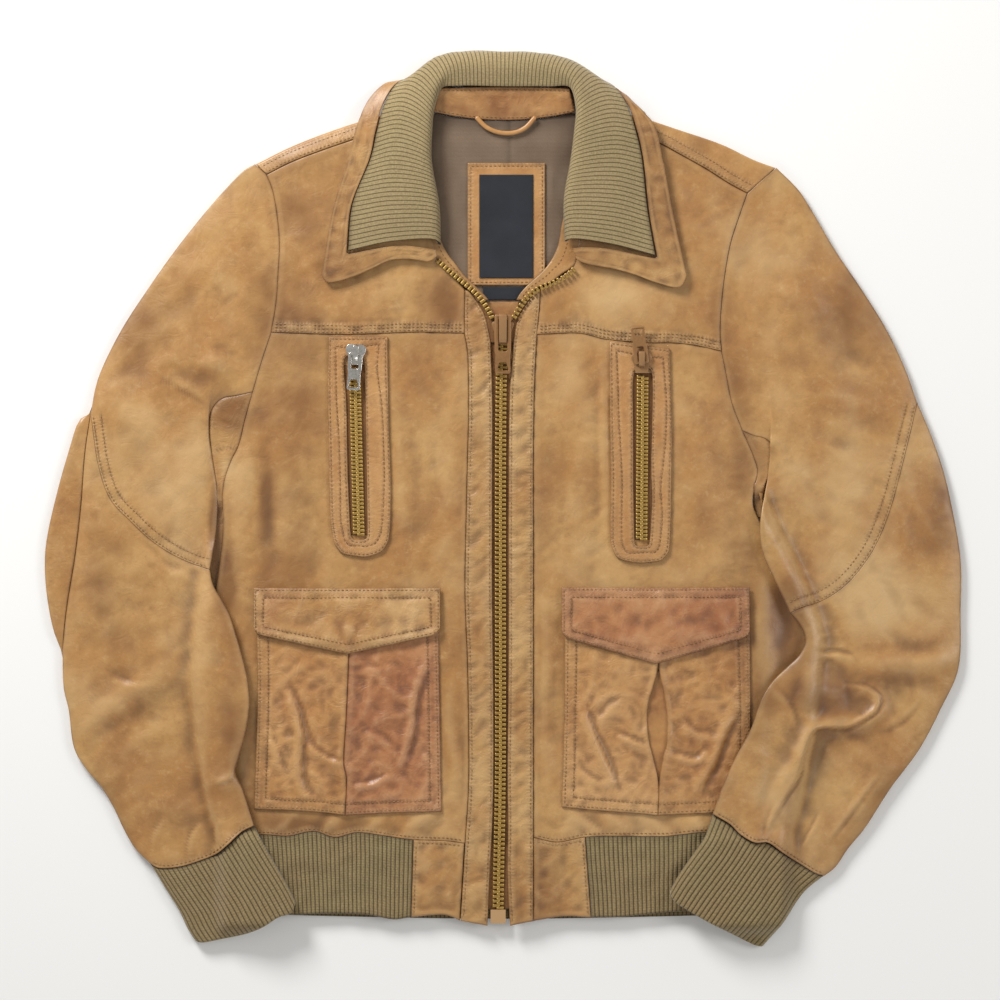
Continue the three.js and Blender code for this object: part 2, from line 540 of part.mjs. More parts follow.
function addSleeve(side, lines) {
  const { inUp, inLow, outUp, seamLow, outLow, edgeLow, elbow, cuff, arm, armFoot, folds } = lines;
  const backTip = side === 'left' ? backSeamL[0] : backSeamR[0];
  const high = 8;
  const low = 11;
  const elbowRun = run(elbow, sleeveAcross);
  const cuffRun = run(cuff, sleeveAcross);
  const hole = chain(run(arm[0], armMidCells), run(arm[1], armHighCells), run(arm[2], 1));
  const upper = drawIn(patch(run(inUp, high), run(outUp, high), hole, elbowRun));
  addLaid(`sleeve_upper_${side}`, upper, sleeveTop(side, folds, sleeveAcross, high, true), wall,
    tan);
  const outer = run([...seamLow, ...outLow.slice(1)], low);
  const lower = drawIn(patch(run(inLow, low), outer, elbowRun, cuffRun));
  addLaid(`sleeve_lower_${side}`, lower, sleeveTop(side, folds, sleeveAcross, low, false), wall,
    tan);

  // The under sleeve lies on the floor; where it comes round the edge it is folded double.
  const upCells = 6;
  const rows = upCells + low;
  const across = armLowCells + armMidCells + armHighCells + 1;
  const under = chain(run(armFoot, armLowCells), run(arm[0], armMidCells),
    run([...arm[1].slice(0, -1), backTip], armHighCells), run([backTip, arm[2].at(-1)], 1));
  const inside = run([[armFoot[0][0], armFoot[0][1] - 1], ...inUp.slice(-5), ...inLow.slice(1)],
    rows);
  const outSeam = chain(run(outUp, upCells), outer);
  const outEdge = chain(run(outUp, upCells), run([...edgeLow, ...outLow.slice(1)], low));
  inside[0] = under[0];
  const grid = drawIn(patch(inside, outSeam, under, refine(cuffRun, across)), 1);
  grid[across] = outSeam.map((p, k) => (k === rows ? grid[across][k] : [...p]));
  const strip = [0, 0.6, 1].map((t, n) => outSeam.map((p, k) => {
    const before = grid[across - 1][k];
    const from = grid[across][k];
    const d = Math.hypot(p[0] - before[0], p[1] - before[1]);
    const wide = Math.hypot(outEdge[k][0] - p[0], outEdge[k][1] - p[1]);
    const shift = [0, 1].map((c) => (outEdge[k][c] - p[c]) * t
      + (p[c] - before[c]) / d * 0.15 * (n + 1));
    return [from[0] + shift[0], from[1] + shift[1], 0, wide];
  }));
  const whole = [...grid, ...strip];
  const topOf = (p, j) => {
    const double = j > across ? ease((p[3] - 2) / 5) : 0;
    return wall + double * (edgeTop - wall + (j === across + 2 ? 1.4 : 0));
  };
  const baseOf = climb(side);
  const face = (isTop) => whole.map((row, j) => row.map((p) => [p[0], p[1],
    baseOf(p[0], p[1]) + (isTop ? topOf(p, j) : 0)]));
  addWall(`sleeve_under_${side}`, face(true), face(false), tan);

  // Gusset under the arm, between the body and the sleeve.
  const n = 6;
  const bodySide = refine(run(armFoot, armLowCells), n).slice(0, n);
  const inner = run(inUp, high);
  const crook = inner.findIndex((p) => p[1] <= armFoot[0][1] + 8);
  const sleeveSide = refine(inner.slice(0, crook + 1).reverse(), n).slice(0, n);
  const gusset = drawIn(between(bodySide, sleeveSide, 2), 1.5);
  addLaid(`gusset_${side}`, gusset,
    (x, y) => torsoTop(x, y) + climb(side)(x, y) + 0.5, wall, brown);
}
addSleeve('left', {
  inUp: sleeveInUpL, inLow: sleeveInLowL, outUp: sleeveOutUpL, seamLow: sleeveSeamLowL,
  outLow: sleeveOutLowL, edgeLow: sleeveEdgeL, elbow: elbowL, cuff: cuffSeamL,
  arm: [armMidL, armHighL, armTipL], armFoot: armLowL, folds: foldsL,
});
addSleeve('right', {
  inUp: sleeveInUpR, inLow: sleeveInLowR, outUp: sleeveOutUpR, seamLow: sleeveOutLowR.slice(0, 7),
  outLow: sleeveOutLowR.slice(6), edgeLow: sleeveOutLowR.slice(0, 7), elbow: elbowR,
  cuff: cuffSeamR, arm: [armMidR, armHighR, armTipR], armFoot: armLowR, folds: foldsR,
});

// Cuffs are flat knit tubes with ribs along them, plain below where they lie.
function addCuff(name, side, seamLine, endLine, inLine, outLine) {
  const columns = 44;
  const steps = 2;
  const height = 9;
  const knitWall = 3;
  const spread = (line, count) => refine(run(line, sleeveAcross), count);
  const plan = drawIn(patch(spread(seamLine, columns), spread(endLine, columns),
    run(inLine, steps), run(outLine, steps)), 0.4);
  const order = [];
  for (let i = 0; i <= columns; i += 1) order.push([i, 1]);
  for (let i = columns - 4; i >= 4; i -= 4) order.push([i, -1]);
  const ring = (isOuter) => plan.map((row) => order.map(([i, up]) => {
    const width = Math.hypot(row[0][0] - row[columns][0], row[0][1] - row[columns][1]);
    const shrink = isOuter ? 1 : 1 - 2 * knitWall / width;
    const place = columns / 2 + (i - columns / 2) * shrink;
    const m = Math.min(columns - 1, Math.floor(place));
    const [x, y] = [0, 1].map((c) => row[m][c] + (row[m + 1][c] - row[m][c]) * (place - m));
    const bulge = Math.sqrt(1 - Math.abs(2 * i / columns - 1) ** 6);
    const half = isOuter ? height / 2 : height / 2 - knitWall;
    const rib = isOuter && up > 0 ? (i % 2) * 0.8 * bulge : 0;
    return [x, y, climb(side)(row[i][0], row[i][1]) + height / 2 + up * half * bulge + rib];
  }));
  addWall(name, ring(true), ring(false), knit, true);
}
addCuff('cuff_left', 'left', cuffSeamL, cuffEndL, cuffInL, cuffOutL);
addCuff('cuff_right', 'right', cuffSeamR, cuffEndR, cuffInR, cuffOutR);

// Collar. Each line runs from the left front round the back of the neck to the right front.
const collarRows = 124;
const collarWall = 2.8;
const collarAcross = 5;
const bandTop = [[-56, 216, 12.5], [-57, 248, 16], [-63.5, 287, 19], [-63, 310, 19.5],
  [-61, 330, 19], [-54, 349, 16.5], [-38, 351, 15.5], [0, 350.5, 15], [38, 350.5, 15.5],
  [57, 350, 16.5], [63, 330, 19], [61, 310, 19.5], [58, 287, 19], [53, 255, 16.5], [54, 219, 12.5]];
const rollLine = [[-58, 220, 15.5], [-59, 248, 19.5], [-66, 287, 22.5], [-66, 310, 23],
  [-64, 333, 22.5], [-57, 353, 20.5], [-42, 368, 18.5], [0, 368, 17.5], [40, 367, 18.5],
  [60, 356, 20.5], [66, 333, 22.5], [65, 310, 23], [62, 287, 22.5], [55, 253, 19.5],
  [56, 221, 15.5]];
const leafLine = [[-95, 219, 15.5], [-95, 240, 18], [-92, 285, 19.5], [-89, 312, 19.5],
  [-84, 336, 18], [-75, 356, 14.5], [-56, 374, 10], [0, 378.5, 9], [54, 372, 10], [76, 356, 14.5],
  [86, 336, 18], [92, 312, 19.5], [93, 285, 19.5], [93, 240, 18], [90, 217, 15.5]];
const inlaySeam = [[-132, 211, 13.6], [-128, 250, 13.6], [-112, 290, 13.8], [-107, 312, 14.2],
  [-100, 336, 12], [-88, 353, 7], [-66, 357, 0.8], [0, 347, 0.6], [66, 357, 0.8], [90, 351, 7],
  [103, 335, 12], [111, 312, 14.2], [116, 290, 13.8], [121, 246, 13.6], [128, 207, 13.6]];
const collarEdge = [[-155, 190, 12.6], [-145, 247, 12.8], [-131, 292, 13.2], [-125, 316, 12.8],
  [-113, 341, 7.5], [-97, 353, 3.5], [-70, 338, 0.6], [0, 325, 0.6], [70, 338, 0.6],
  [99, 344, 3.5], [110, 335, 8.5], [127, 318, 12.6], [134, 292, 13.2], [144, 240, 12.8],
  [155, 190, 12.6]];
const aboveYoke = (p, least) => [p[0], p[1],
  Math.abs(p[0]) > 70 && p[1] < 326 ? Math.max(p[2], torsoTop(p[0], p[1]) + least) : p[2]];

// The grid moved square to itself, for pieces that stand or turn over.
function offsetGrid(grid, depth) {
  const nv = grid.length - 1;
  const nu = grid[0].length - 1;
  return grid.map((row, j) => row.map((p, i) => {
    const across = new THREE.Vector3(...row[Math.min(nu, i + 1)])
      .sub(new THREE.Vector3(...row[Math.max(0, i - 1)]));
    const along = new THREE.Vector3(...grid[Math.min(nv, j + 1)][i])
      .sub(new THREE.Vector3(...grid[Math.max(0, j - 1)][i]));
    const normal = across.cross(along).normalize();
    return [p[0] + normal.x * depth, p[1] + normal.y * depth, p[2] + normal.z * depth];
  }));
}
// Lifts both faces of a wall together where either would sink under the resting plane.
function onFloor(outer, inner) {
  outer.forEach((row, k) => row.forEach((p, i) => {
    const rise = Math.max(0, -p[2], -inner[k][i][2]);
    p[2] += rise;
    inner[k][i][2] += rise;
  }));
}
const borderRows = collarRows / 2;
const seamOfRib = run(inlaySeam, borderRows);
const collarRuns = [...[bandTop, rollLine, leafLine].map((line) => run(line, collarRows)),
  refine(seamOfRib, collarRows)];
const ribRows = Array.from({ length: collarRows + 1 }, (_, k) => {
  const [a, b, c, d] = collarRuns.map((line) => line[k]);
  return run([a, b, c, d].map((p) => aboveYoke(p, 3.7)), collarAcross);
});
const ribInner = offsetGrid(ribRows, -collarWall);
const ribOuter = ribRows.map((row, k) => row.map((p, i) => {
  const inner = ribInner[k][i];
  const grow = i === 0 || i === collarAcross ? 1 : 1 + (k % 2) * 0.28;
  return [0, 1, 2].map((c) => inner[c] + (p[c] - inner[c]) * grow);
}));
onFloor(ribOuter, ribInner);
addWall('collar_rib', ribOuter, ribInner, knit);

// Leather border: along the collar's front edge, round its corner and all the way to the other.
const frontInL = [[-58, 214, 13.6], [-78, 217, 14], [-95, 216.5, 14], [-110, 214, 13.8],
  [-124, 211, 13.6], [-132, 209.5, 13.6]];
const frontOutL = [[-57, 206, 13.2], [-64, 202, 13], [-80, 204, 13], [-96, 203, 13],
  [-112, 196, 12.8], [-128, 189, 12.8], [-150, 184, 12.6], [-155, 189, 12.6]];
const frontInR = [[128, 205.5, 13.6], [116, 208, 13.6], [99, 212, 13.8], [82, 215, 14],
  [65, 216, 14], [57, 215, 13.6]];
const frontOutR = [[155, 189, 12.6], [150, 180, 12.6], [132, 183, 12.8], [113, 190, 12.8],
  [96, 195, 13], [80, 198, 13], [70, 200, 13], [62, 203, 13.2]];
const frontCells = 6;
const innerRim = [...run(frontInL, frontCells).slice(0, -1), ...seamOfRib,
  ...run(frontInR, frontCells).slice(1)];
const outerRim = [...run(frontOutL, frontCells).slice(0, -1), ...run(collarEdge, borderRows),
  ...run(frontOutR, frontCells).slice(1)];
const border = innerRim.map((p, k) => {
  const q = outerRim[k];
  const d = Math.hypot(...[0, 1, 2].map((c) => q[c] - p[c]));
  return [2.4 / d, 1].map((t) => aboveYoke([0, 1, 2].map((c) => p[c] + (q[c] - p[c]) * t),
    3.5));
});
const borderInner = offsetGrid(border, -2.6);
onFloor(border, borderInner);
addWall('collar_border', border, borderInner, tan);

// Facings rise from the foot of the open neck to the roll of the collar.
const facingOutL = [[-23.5, 168, 9.7], [-26.5, 173, 9.7], [-31, 178.5, 9.7],
  [-41.5, 188, 9.7], [-49.5, 197, 9.7], [-57, 206, 9.7], [-61, 220, 10], [-65, 248, 10],
  [-69, 286, 11.2], [-69, 306, 12.4], [-66.5, 318, 12.8]];
const facingInL = [[-13, 169.5, 9.3], [-17, 174, 9.3], [-24, 181, 9.3],
  [-34, 191, 9.3], [-42, 201, 9.4], [-50, 212, 9.8], [-55, 224, 11], [-57.5, 248, 13.6],
  [-63.5, 286, 16.8], [-63.5, 306, 17.4], [-62, 318, 17.2]];
const facingOutR = [[20.5, 168.5, 9.7], [24, 174, 9.7], [29.5, 180, 9.7],
  [42, 185, 9.7], [50, 191.5, 9.7], [58.5, 199.5, 9.7], [64, 220, 10], [66, 248, 10],
  [70, 286, 11.2], [70, 306, 12.4], [67, 318, 12.8]];
const facingInR = [[10.5, 169.5, 9.3], [13, 174, 9.3], [18, 180, 9.3],
  [33, 194, 9.3], [40, 203, 9.4], [46, 216, 9.8], [49, 232, 11], [54, 254, 13.6],
  [58.5, 286, 16.8], [62.5, 306, 17.4], [63, 318, 17.2]];
function addFacing(name, outLine, inLine) {
  const n = 14;
  const grid = between(run(outLine, n), run(inLine, n), 1).map((row) => row.map((p, i) => {
    const q = row[i === 0 ? 1 : i - 1];
    const d = Math.hypot(...[0, 1, 2].map((c) => q[c] - p[c]));
    const pull = i === 1 ? 0 : 2.8 / d;
    return [0, 1, 2].map((c) => p[c] + (q[c] - p[c]) * pull);
  }));
  const depth = name.endsWith('left') ? -1.6 : 1.6;
  addWall(name, grid, offsetGrid(grid, depth), tan);
}
addFacing('facing_left', facingOutL, facingInL);
addFacing('facing_right', facingOutR, facingInR);

// Neck band and what lies inside the back of the neck.
const band = [0, 1, 2, 3].map((j) => Array.from({ length: 11 }, (_, i) => {
  const t = i / 5 - 1;
  const low = [t * 60, 322 + 7 * t * t, 10.4 + 2.6 * t * t];
  const high = [t * 55.5, 350.1 - 1.6 * t * t, 15 + 0.8 * t * t];
  return [0, 1, 2].map((c) => low[c] + (high[c] - low[c]) * j / 3);
}));
addWall('neck_band', band, offsetGrid(band, -1.6), brown);
const liningTop = (x, y) => wall + 0.4 + 1.9 + neckLift(x, y) + 0.9 * ease((y - 235) / 20);
const liningGrid = patch(run([[-52, 112], [0, 108], [52, 112]], 6),
  run([[-59, 328], [-30, 323.2], [0, 321.6], [30, 323.2], [60, 328]], 6),
  run([[-52, 112], [-64, 180], [-67, 240], [-66, 300], [-59, 328]], 9),
  run([[52, 112], [64, 180], [67, 240], [66, 300], [60, 328]], 9));
addLaid('lining', liningGrid, liningTop, 1.9, cloth);
const onLining = (rise) => (x, y) => liningTop(x, y) + rise;
const rectangle = (x0, y0, x1, y1, nx, ny) => between(straight([x0, y0], [x0, y1], ny),
  straight([x1, y0], [x1, y1], ny), nx);
addLaid('label_patch', rectangle(-31, 182, 35, 286, 3, 7), onLining(2.3), 1.4, tan);
addLaid('label_cloth', rectangle(-21, 188, 25, 276, 2, 5), onLining(3.4), 0.7, dark);
addLaid('size_tab', rectangle(-18, 169.5, 21, 180.6, 2, 1), onLining(1.3), 0.9, dark);

// A round cord through points.
function addCord(name, line, radius, count, sides, look) {
  const path = run(line, count);
  const rings = path.map((p, k) => {
    const before = path[Math.max(0, k - 1)];
    const after = path[Math.min(count, k + 1)];
    const tangent = new THREE.Vector3(after[0] - before[0], after[1] - before[1],
      after[2] - before[2]).normalize();
    const side = new THREE.Vector3(0, 0, 1).cross(tangent).normalize();
    const rise = tangent.clone().cross(side);
    return Array.from({ length: sides }, (_, m) => {
      const a = 2 * Math.PI * m / sides;
      return [0, 1, 2].map((c) => p[c] + radius * (Math.cos(a) * side.getComponent(c)
        + Math.sin(a) * rise.getComponent(c)));
    });
  });
  const points = [...rings.flat(), path[0], path.at(-1)];
  const faces = [];
  for (let k = 0; k < count; k += 1) {
    for (let m = 0; m < sides; m += 1) {
      const n = (m + 1) % sides;
      faces.push([k * sides + m, k * sides + n, (k + 1) * sides + n]);
      faces.push([k * sides + m, (k + 1) * sides + n, (k + 1) * sides + m]);
    }
  }
  for (let m = 0; m < sides; m += 1) {
    const n = (m + 1) % sides;
    faces.push([points.length - 2, n, m]);
    faces.push([points.length - 1, count * sides + m, count * sides + n]);
  }
  return addBody(name, points, faces, look);
}
addCord('hanger_loop', [[-24, 325, 12.8], [-15, 316, 12.6], [-4, 311.5, 12.2], [9, 311.5, 12.2],
  [18, 315.5, 12.6], [27, 325, 12.9]], 1.4, 8, 6, brown);

// Main zip: closed chain and tapes between the plackets, teeth along the open neck.
const zipLine = [[-5, -349], [-4.5, -317], [-3.2, -239], [-3, -128], [-3, -1], [-2.5, 90],
  [-1.6, 146.1]];
const zipRows = 18;
const shifted = (line, dx, count) => run(line.map((p) => [p[0] + dx, p[1]]), count);
addLaid('zip_chain', between(shifted(zipLine, -4.7, zipRows), shifted(zipLine, 4.7, zipRows), 2),
  over(0.5), 3.2, brass);
const tapeLine = [...zipLine.slice(0, -1), [-2, 137]];
addLaid('zip_tape_left', between(shifted(tapeLine, -19, zipRows),
  shifted(tapeLine, -5.2, zipRows), 1), over(-1.9), 0.8, tapeLook);
addLaid('zip_tape_right', between(shifted(tapeLine, 5.2, zipRows),
  shifted(tapeLine, 19, zipRows), 1), over(-1.9), 0.8, tapeLook);
addLaid('zip_box', rectangle(-11.4, -361, 1.4, -349.4, 2, 2), over(0.9), 3.4, painted);
const teethL = [[-52, 199, 12.3], [-40, 189, 12.3], [-30, 183.5, 12.3], [-22, 174.5, 12.3],
  [-15, 164, 12.3]];
const teethR = [[58, 193, 12.3], [48, 185.5, 12.3], [37, 180.5, 12.3], [26, 177.5, 12.3],
  [19, 171, 12.3], [12.5, 162, 12.3]];
function addTeeth(name, line) {
  const count = 10;
  const path = run(line, count);
  const strip = path.map((p, k) => {
    const [a, b] = [path[Math.max(0, k - 1)], path[Math.min(count, k + 1)]];
    const d = Math.hypot(b[0] - a[0], b[1] - a[1]);
    return [-1, 0, 1].map((t) => [p[0] - (b[1] - a[1]) / d * 2.6 * t,
      p[1] + (b[0] - a[0]) / d * 2.6 * t, p[2]]);
  });
  addLaid(name, strip, (x, y, i) => 12.3 + (i === 1 ? 0.5 : 0), 2, brass);
}
addTeeth('zip_teeth_left', teethL);
addTeeth('zip_teeth_right', teethR);

// Sliders: a shouldered plate with a bridge; the pull's bar lies under the bridge.
const library = await Module();
library.setup();
function solidOf(geometry) {
  const bare = geometry.clone();
  bare.deleteAttribute('normal');
  bare.deleteAttribute('uv');
  const merged = mergeVertices(bare, 1e-4);
  return new library.Manifold(new library.Mesh({
    numProp: 3,
    vertProperties: merged.attributes.position.array,
    triVerts: new Uint32Array(merged.index.array),
  }));
}
function prism(outline, holes, depth) {
  const shape = new THREE.Shape(outline.map((p) => new THREE.Vector2(p[0], p[1])));
  for (const hole of holes) {
    shape.holes.push(new THREE.Path(hole.map((p) => new THREE.Vector2(p[0], p[1]))));
  }
  return new THREE.ExtrudeGeometry(shape, { depth, bevelEnabled: false });
}
const barHeight = 1.55;
function addSlider(name, x, y, z, size, way, thick, look) {
  const plate = prism([[-6, -9], [6, -9], [8.8, -3], [9, 5], [7, 8.5], [2.4, 9.6], [-2.4, 9.6],
    [-7, 8.5], [-9, 5], [-8.8, -3]], [], thick / size).translate(0, 0, -thick / size);
  const bridge = prism([[-6.6, -0.4], [-6.6, 3.2], [-5.2, 4.6], [2.6, 4.6], [3.9, 3.2],
    [3.9, -0.4]], [[[-4.6, 0.05], [2.1, 0.05], [2.1, 2.6], [1.4, 3.2], [-3.9, 3.2],
    [-4.6, 2.6]]], 4.2)
    .translate(0, 0, -2.1)
    .rotateX(Math.PI / 2)
    .rotateZ(Math.PI / 2);
  const joined = library.Manifold.union(solidOf(plate), solidOf(bridge)).getMesh();
  const geometry = new THREE.BufferGeometry();
  geometry.setAttribute('position', new THREE.Float32BufferAttribute(joined.vertProperties, 3));
  geometry.setIndex(Array.from(joined.triVerts));
  geometry.scale(size, size, size);
  if (way < 0) geometry.rotateZ(Math.PI);
  geometry.translate(x, y, z);
  geometry.computeVertexNormals();
  const mesh = new THREE.Mesh(geometry, new THREE.MeshStandardMaterial(look));
  mesh.name = name;
  jacket.add(mesh);
}
function addPull(name, x, y, z, size, way, length, lean, look) {
  const halfEnd = 5.4;
  const outline = [[-halfEnd, 0.9], [-halfEnd, -11], [-halfEnd + 0.6, -13], [-4.6, -length + 4],
    [-3.4, -length + 1], [-1.6, -length], [1.6, -length], [3.4, -length + 1],
    [4.6, -length + 4], [halfEnd - 0.6, -13], [halfEnd, -11], [halfEnd, 0.9]];
  const hole = [[-3.1, -0.9], [3.1, -0.9], [3.1, -9.6], [-3.1, -9.6]];
  const geometry = prism(outline, [hole], 1.6).translate(0, 0, -0.8);
  geometry.scale(size, size, size);
  geometry.rotateZ((way < 0 ? Math.PI : 0) + lean);
  geometry.translate(x, y, z + barHeight * size);
  const mesh = new THREE.Mesh(geometry, new THREE.MeshStandardMaterial(look));
  mesh.name = name;
  jacket.add(mesh);
}
const mainTop = 11.4;
const chestLeftTop = torsoTop(-126, 122) + 5.4;
const chestRightTop = torsoTop(117, 116) + 5.4;
addSlider('main_slider', -1, 155.5, mainTop, 1, 1, 5.6, painted);
addPull('main_pull', -1, 155.5, mainTop, 1, 1, 47, 0, painted);
addSlider('chest_slider_left', -126, 123, chestLeftTop, 0.9, 1, 2, silver);
addPull('chest_pull_left', -126, 123, chestLeftTop, 0.9, 1, 43, 0, silver);
addSlider('chest_slider_right', 117, 116, chestRightTop, 0.9, -1, 2, painted);
addPull('chest_pull_right', 117, 116, chestRightTop, 0.9, -1, 40, 0, painted);

export default jacket;
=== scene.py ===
# Worn leather blouson laid flat on its back. Seam lines below are in millimetres,
# +X to the right of the picture, +Y to the collar, +Z up; meshes are made in metres.
import json
import math
import bmesh
import bpy
import numpy as np
from mathutils.geometry import tessellate_polygon
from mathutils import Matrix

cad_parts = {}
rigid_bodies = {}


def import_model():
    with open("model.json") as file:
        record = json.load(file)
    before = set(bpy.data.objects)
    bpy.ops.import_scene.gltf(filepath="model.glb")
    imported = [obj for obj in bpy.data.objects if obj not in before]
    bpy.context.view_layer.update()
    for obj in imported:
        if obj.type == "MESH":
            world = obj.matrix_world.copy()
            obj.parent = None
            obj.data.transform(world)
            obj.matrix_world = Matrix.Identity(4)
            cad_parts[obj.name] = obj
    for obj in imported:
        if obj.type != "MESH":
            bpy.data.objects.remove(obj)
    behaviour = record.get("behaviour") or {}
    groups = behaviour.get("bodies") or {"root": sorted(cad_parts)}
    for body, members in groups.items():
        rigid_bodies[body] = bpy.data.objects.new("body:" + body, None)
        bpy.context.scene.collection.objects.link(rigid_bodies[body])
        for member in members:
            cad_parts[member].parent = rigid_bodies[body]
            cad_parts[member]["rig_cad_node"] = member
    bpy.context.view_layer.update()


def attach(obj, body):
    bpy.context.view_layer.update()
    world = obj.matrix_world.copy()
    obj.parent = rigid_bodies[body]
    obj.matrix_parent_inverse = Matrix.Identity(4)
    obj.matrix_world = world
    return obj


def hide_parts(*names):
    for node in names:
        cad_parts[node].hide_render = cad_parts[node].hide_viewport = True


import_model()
cadNodes = {o["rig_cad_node"]: o for o in bpy.data.objects if "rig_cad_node" in o}

# What a user would change first
jacket = {
    "step": 2.4,          # mm between the points of the big panels
    "fineStep": 2.0,      # mm on pockets, flaps and plackets
    "hiddenStep": 5.8,    # mm on the back and under the sleeves
    "seamGap": 0.0,       # mm, half of the joint between two pieces
    "edgeTop": 5.3,       # mm, top of the front at the side seams
    "fullness": 3.2,      # mm the front rises toward its middle
    "neckRise": 3.6,      # mm the neck is lifted by the collar tucked under it
    "halfWidth": 250,     # mm, centre to side
    "sleeveFull": 3.6,    # mm the sleeve's top rises along its middle
    "shoulderFold": 5.6,  # mm, thickness where the shoulder folds over
    "wall": 2.5,          # mm, leather with its backing
    "thinnest": 0.15,     # mm left of a wall where its edge is rounded away
    "hemHeight": 68,      # mm, rib hem from its seam to its foot
    "ribPitch": 3.7,      # mm from rib to rib in hem and cuffs
    "collarPitch": 3.4,   # mm from rib to rib in the collar
    "crease": 1.0,        # strength of all the small creases
}


def ease(t):
    s = np.clip(t, 0, 1)
    return s * s * (3 - 2 * s)


def curve(points):  # dense points along a smooth centripetal curve through the given ones
    p = np.array([list(q) + [0] * (3 - len(q)) for q in points], float)
    p = np.vstack([2 * p[0] - p[1], p, 2 * p[-1] - p[-2]])
    out = [p[1][None]]
    for a, b, c, d in zip(p, p[1:], p[2:], p[3:]):
        i, j, k = [max(1e-4, np.linalg.norm(m - n) ** 0.5) for m, n in ((b, a), (c, b), (d, c))]
        m1 = ((b - a) / i - (c - a) / (i + j) + (c - b) / j) * j
        m2 = ((c - b) / j - (d - b) / (j + k) + (d - c) / k) * j
        t = np.linspace(0, 1, 25)[1:, None]
        out.append(b + m1 * t + (-3 * b + 3 * c - 2 * m1 - m2) * t * t
                   + (2 * b - 2 * c + m1 + m2) * t ** 3)
    return np.vstack(out)


def bell(distance, width):  # 1 at no distance, fading over the width
    return np.exp(-(distance / width) ** 2)


def raised(x, y, z):
    return np.stack([x, y, z], -1)


def join(*lines):
    return np.vstack([lines[0]] + [n[1:] for n in lines[1:]])


def lengths(line):
    return np.r_[0, np.cumsum(np.linalg.norm(np.diff(line, axis=0), axis=1))]


def at(line, parts):  # points at these fractions of a line's length
    d = lengths(line)
    return np.stack([np.interp(np.asarray(parts) * d[-1], d, line[:, k]) for k in range(3)], 1)


def evenly(points, count):
    return at(curve(points), np.linspace(0, 1, count))


def cutLine(line, start, end):  # the stretch of a line between two fractions
    return at(line, np.linspace(start, end, 60))


rimBands = (0.4, 1.1, 2.0)  # mm: closer rows beside every edge, so that it can be rounded


def spread(length, step):
    near, far = np.array(rimBands[:-1]), rimBands[-1]
    inner = max(2, round((length - 2 * far) / step))
    middle = np.linspace(far, length - far, inner + 1)
    return np.r_[0, near, middle, length - near[::-1], length] / length


def coons(bottom, top, left, right, step, us=None, vs=None):  # a grid between four edge lines
    bottom, top, left, right = [np.asarray(n, float) for n in (bottom, top, left, right)]
    size = [lengths(n)[-1] for n in (bottom, top, left, right)]
    us = spread((size[0] + size[1]) / 2, step) if us is None else us
    vs = spread((size[2] + size[3]) / 2, step) if vs is None else vs
    b, t, l, r = at(bottom, us), at(top, us), at(left, vs), at(right, vs)
    u, v = us[None, :, None], vs[:, None, None]
    return ((1 - v) * b[None] + v * t[None] + (1 - u) * l[:, None] + u * r[:, None]
            - (1 - u) * (1 - v) * b[0] - u * (1 - v) * b[-1]
            - (1 - u) * v * t[0] - u * v * t[-1])


def between(left, right, step):  # a grid with straight ends
    ends = [np.array([left[k], right[k]]) for k in (0, -1)]
    return coons(ends[0], ends[1], left, right, step)


def rectangle(x0, y0, x1, y1, step=2.0):
    return between(np.array([[x0, y0, 0], [x0, y1, 0]], float),
                   np.array([[x1, y0, 0], [x1, y1, 0]], float), step)


def rimDistance(grid):  # mm from each point to the nearest edge of its grid
    along = np.linalg.norm(np.diff(grid, axis=0), axis=2)
    up = np.concatenate([np.zeros((1, grid.shape[1])), np.cumsum(along, 0)])
    across = np.linalg.norm(np.diff(grid, axis=1), axis=2)
    side = np.concatenate([np.zeros((grid.shape[0], 1)), np.cumsum(across, 1)], 1)
    return np.minimum(np.minimum(up, up[-1] - up), np.minimum(side, side[:, -1:] - side))


def drawIn(grid, gap):  # the edges drawn in by the seam gap, square to themselves
    out = grid.copy()
    reach = 3 * gap + 1.5
    for flip in (False, True):
        g = grid.transpose(1, 0, 2) if flip else grid
        o = out.transpose(1, 0, 2) if flip else out
        for rim, step in ((0, 1), (-1, -1)):
            way = np.gradient(g[rim, :, :2], axis=0)
            way /= np.maximum(np.linalg.norm(way, axis=1, keepdims=True), 1e-6)
            normal = np.stack([-way[:, 1], way[:, 0]], 1)
            inside = g[rim + step * 3, :, :2] - g[rim, :, :2]
            normal *= np.sign((normal * inside).sum(1, keepdims=True) + 1e-9)
            for k in range(8):
                row = rim + step * k
                far = np.linalg.norm(g[row, :, :2] - g[rim, :, :2], axis=1)[:, None]
                o[row, :, :2] += normal * gap * np.clip(1 - far / reach, 0, 1)
    return out


def nearLine(x, y, line, reach=None):  # mm to a line of points in plan, and the place along it
    line = np.asarray(line, float)[:, :2]
    shape = np.shape(x)
    px, py = np.ravel(x), np.ravel(y)
    gap, along = np.full(px.size, 1e3), np.zeros(px.size)
    low, high = line.min(0), line.max(0)
    pad = reach or 1e3
    near = np.flatnonzero((px > low[0] - pad) & (px < high[0] + pad)
                          & (py > low[1] - pad) & (py < high[1] + pad))
    if near.size == 0:
        return gap.reshape(shape), along.reshape(shape)
    qx, qy = px[near], py[near]
    best, place = np.full(near.size, 1e3), np.zeros(near.size)
    for k in range(len(line) - 1):
        (ax, ay), (bx, by) = line[k], line[k + 1]
        square = max((bx - ax) ** 2 + (by - ay) ** 2, 1e-9)
        t = np.clip(((qx - ax) * (bx - ax) + (qy - ay) * (by - ay)) / square, 0, 1)
        d = np.hypot(qx - ax - t * (bx - ax), qy - ay - t * (by - ay))
        closer = d < best
        best[closer] = d[closer]
        place[closer] = ((k + t) / (len(line) - 1))[closer]
    gap[near], along[near] = best, place
    return gap.reshape(shape), along.reshape(shape)


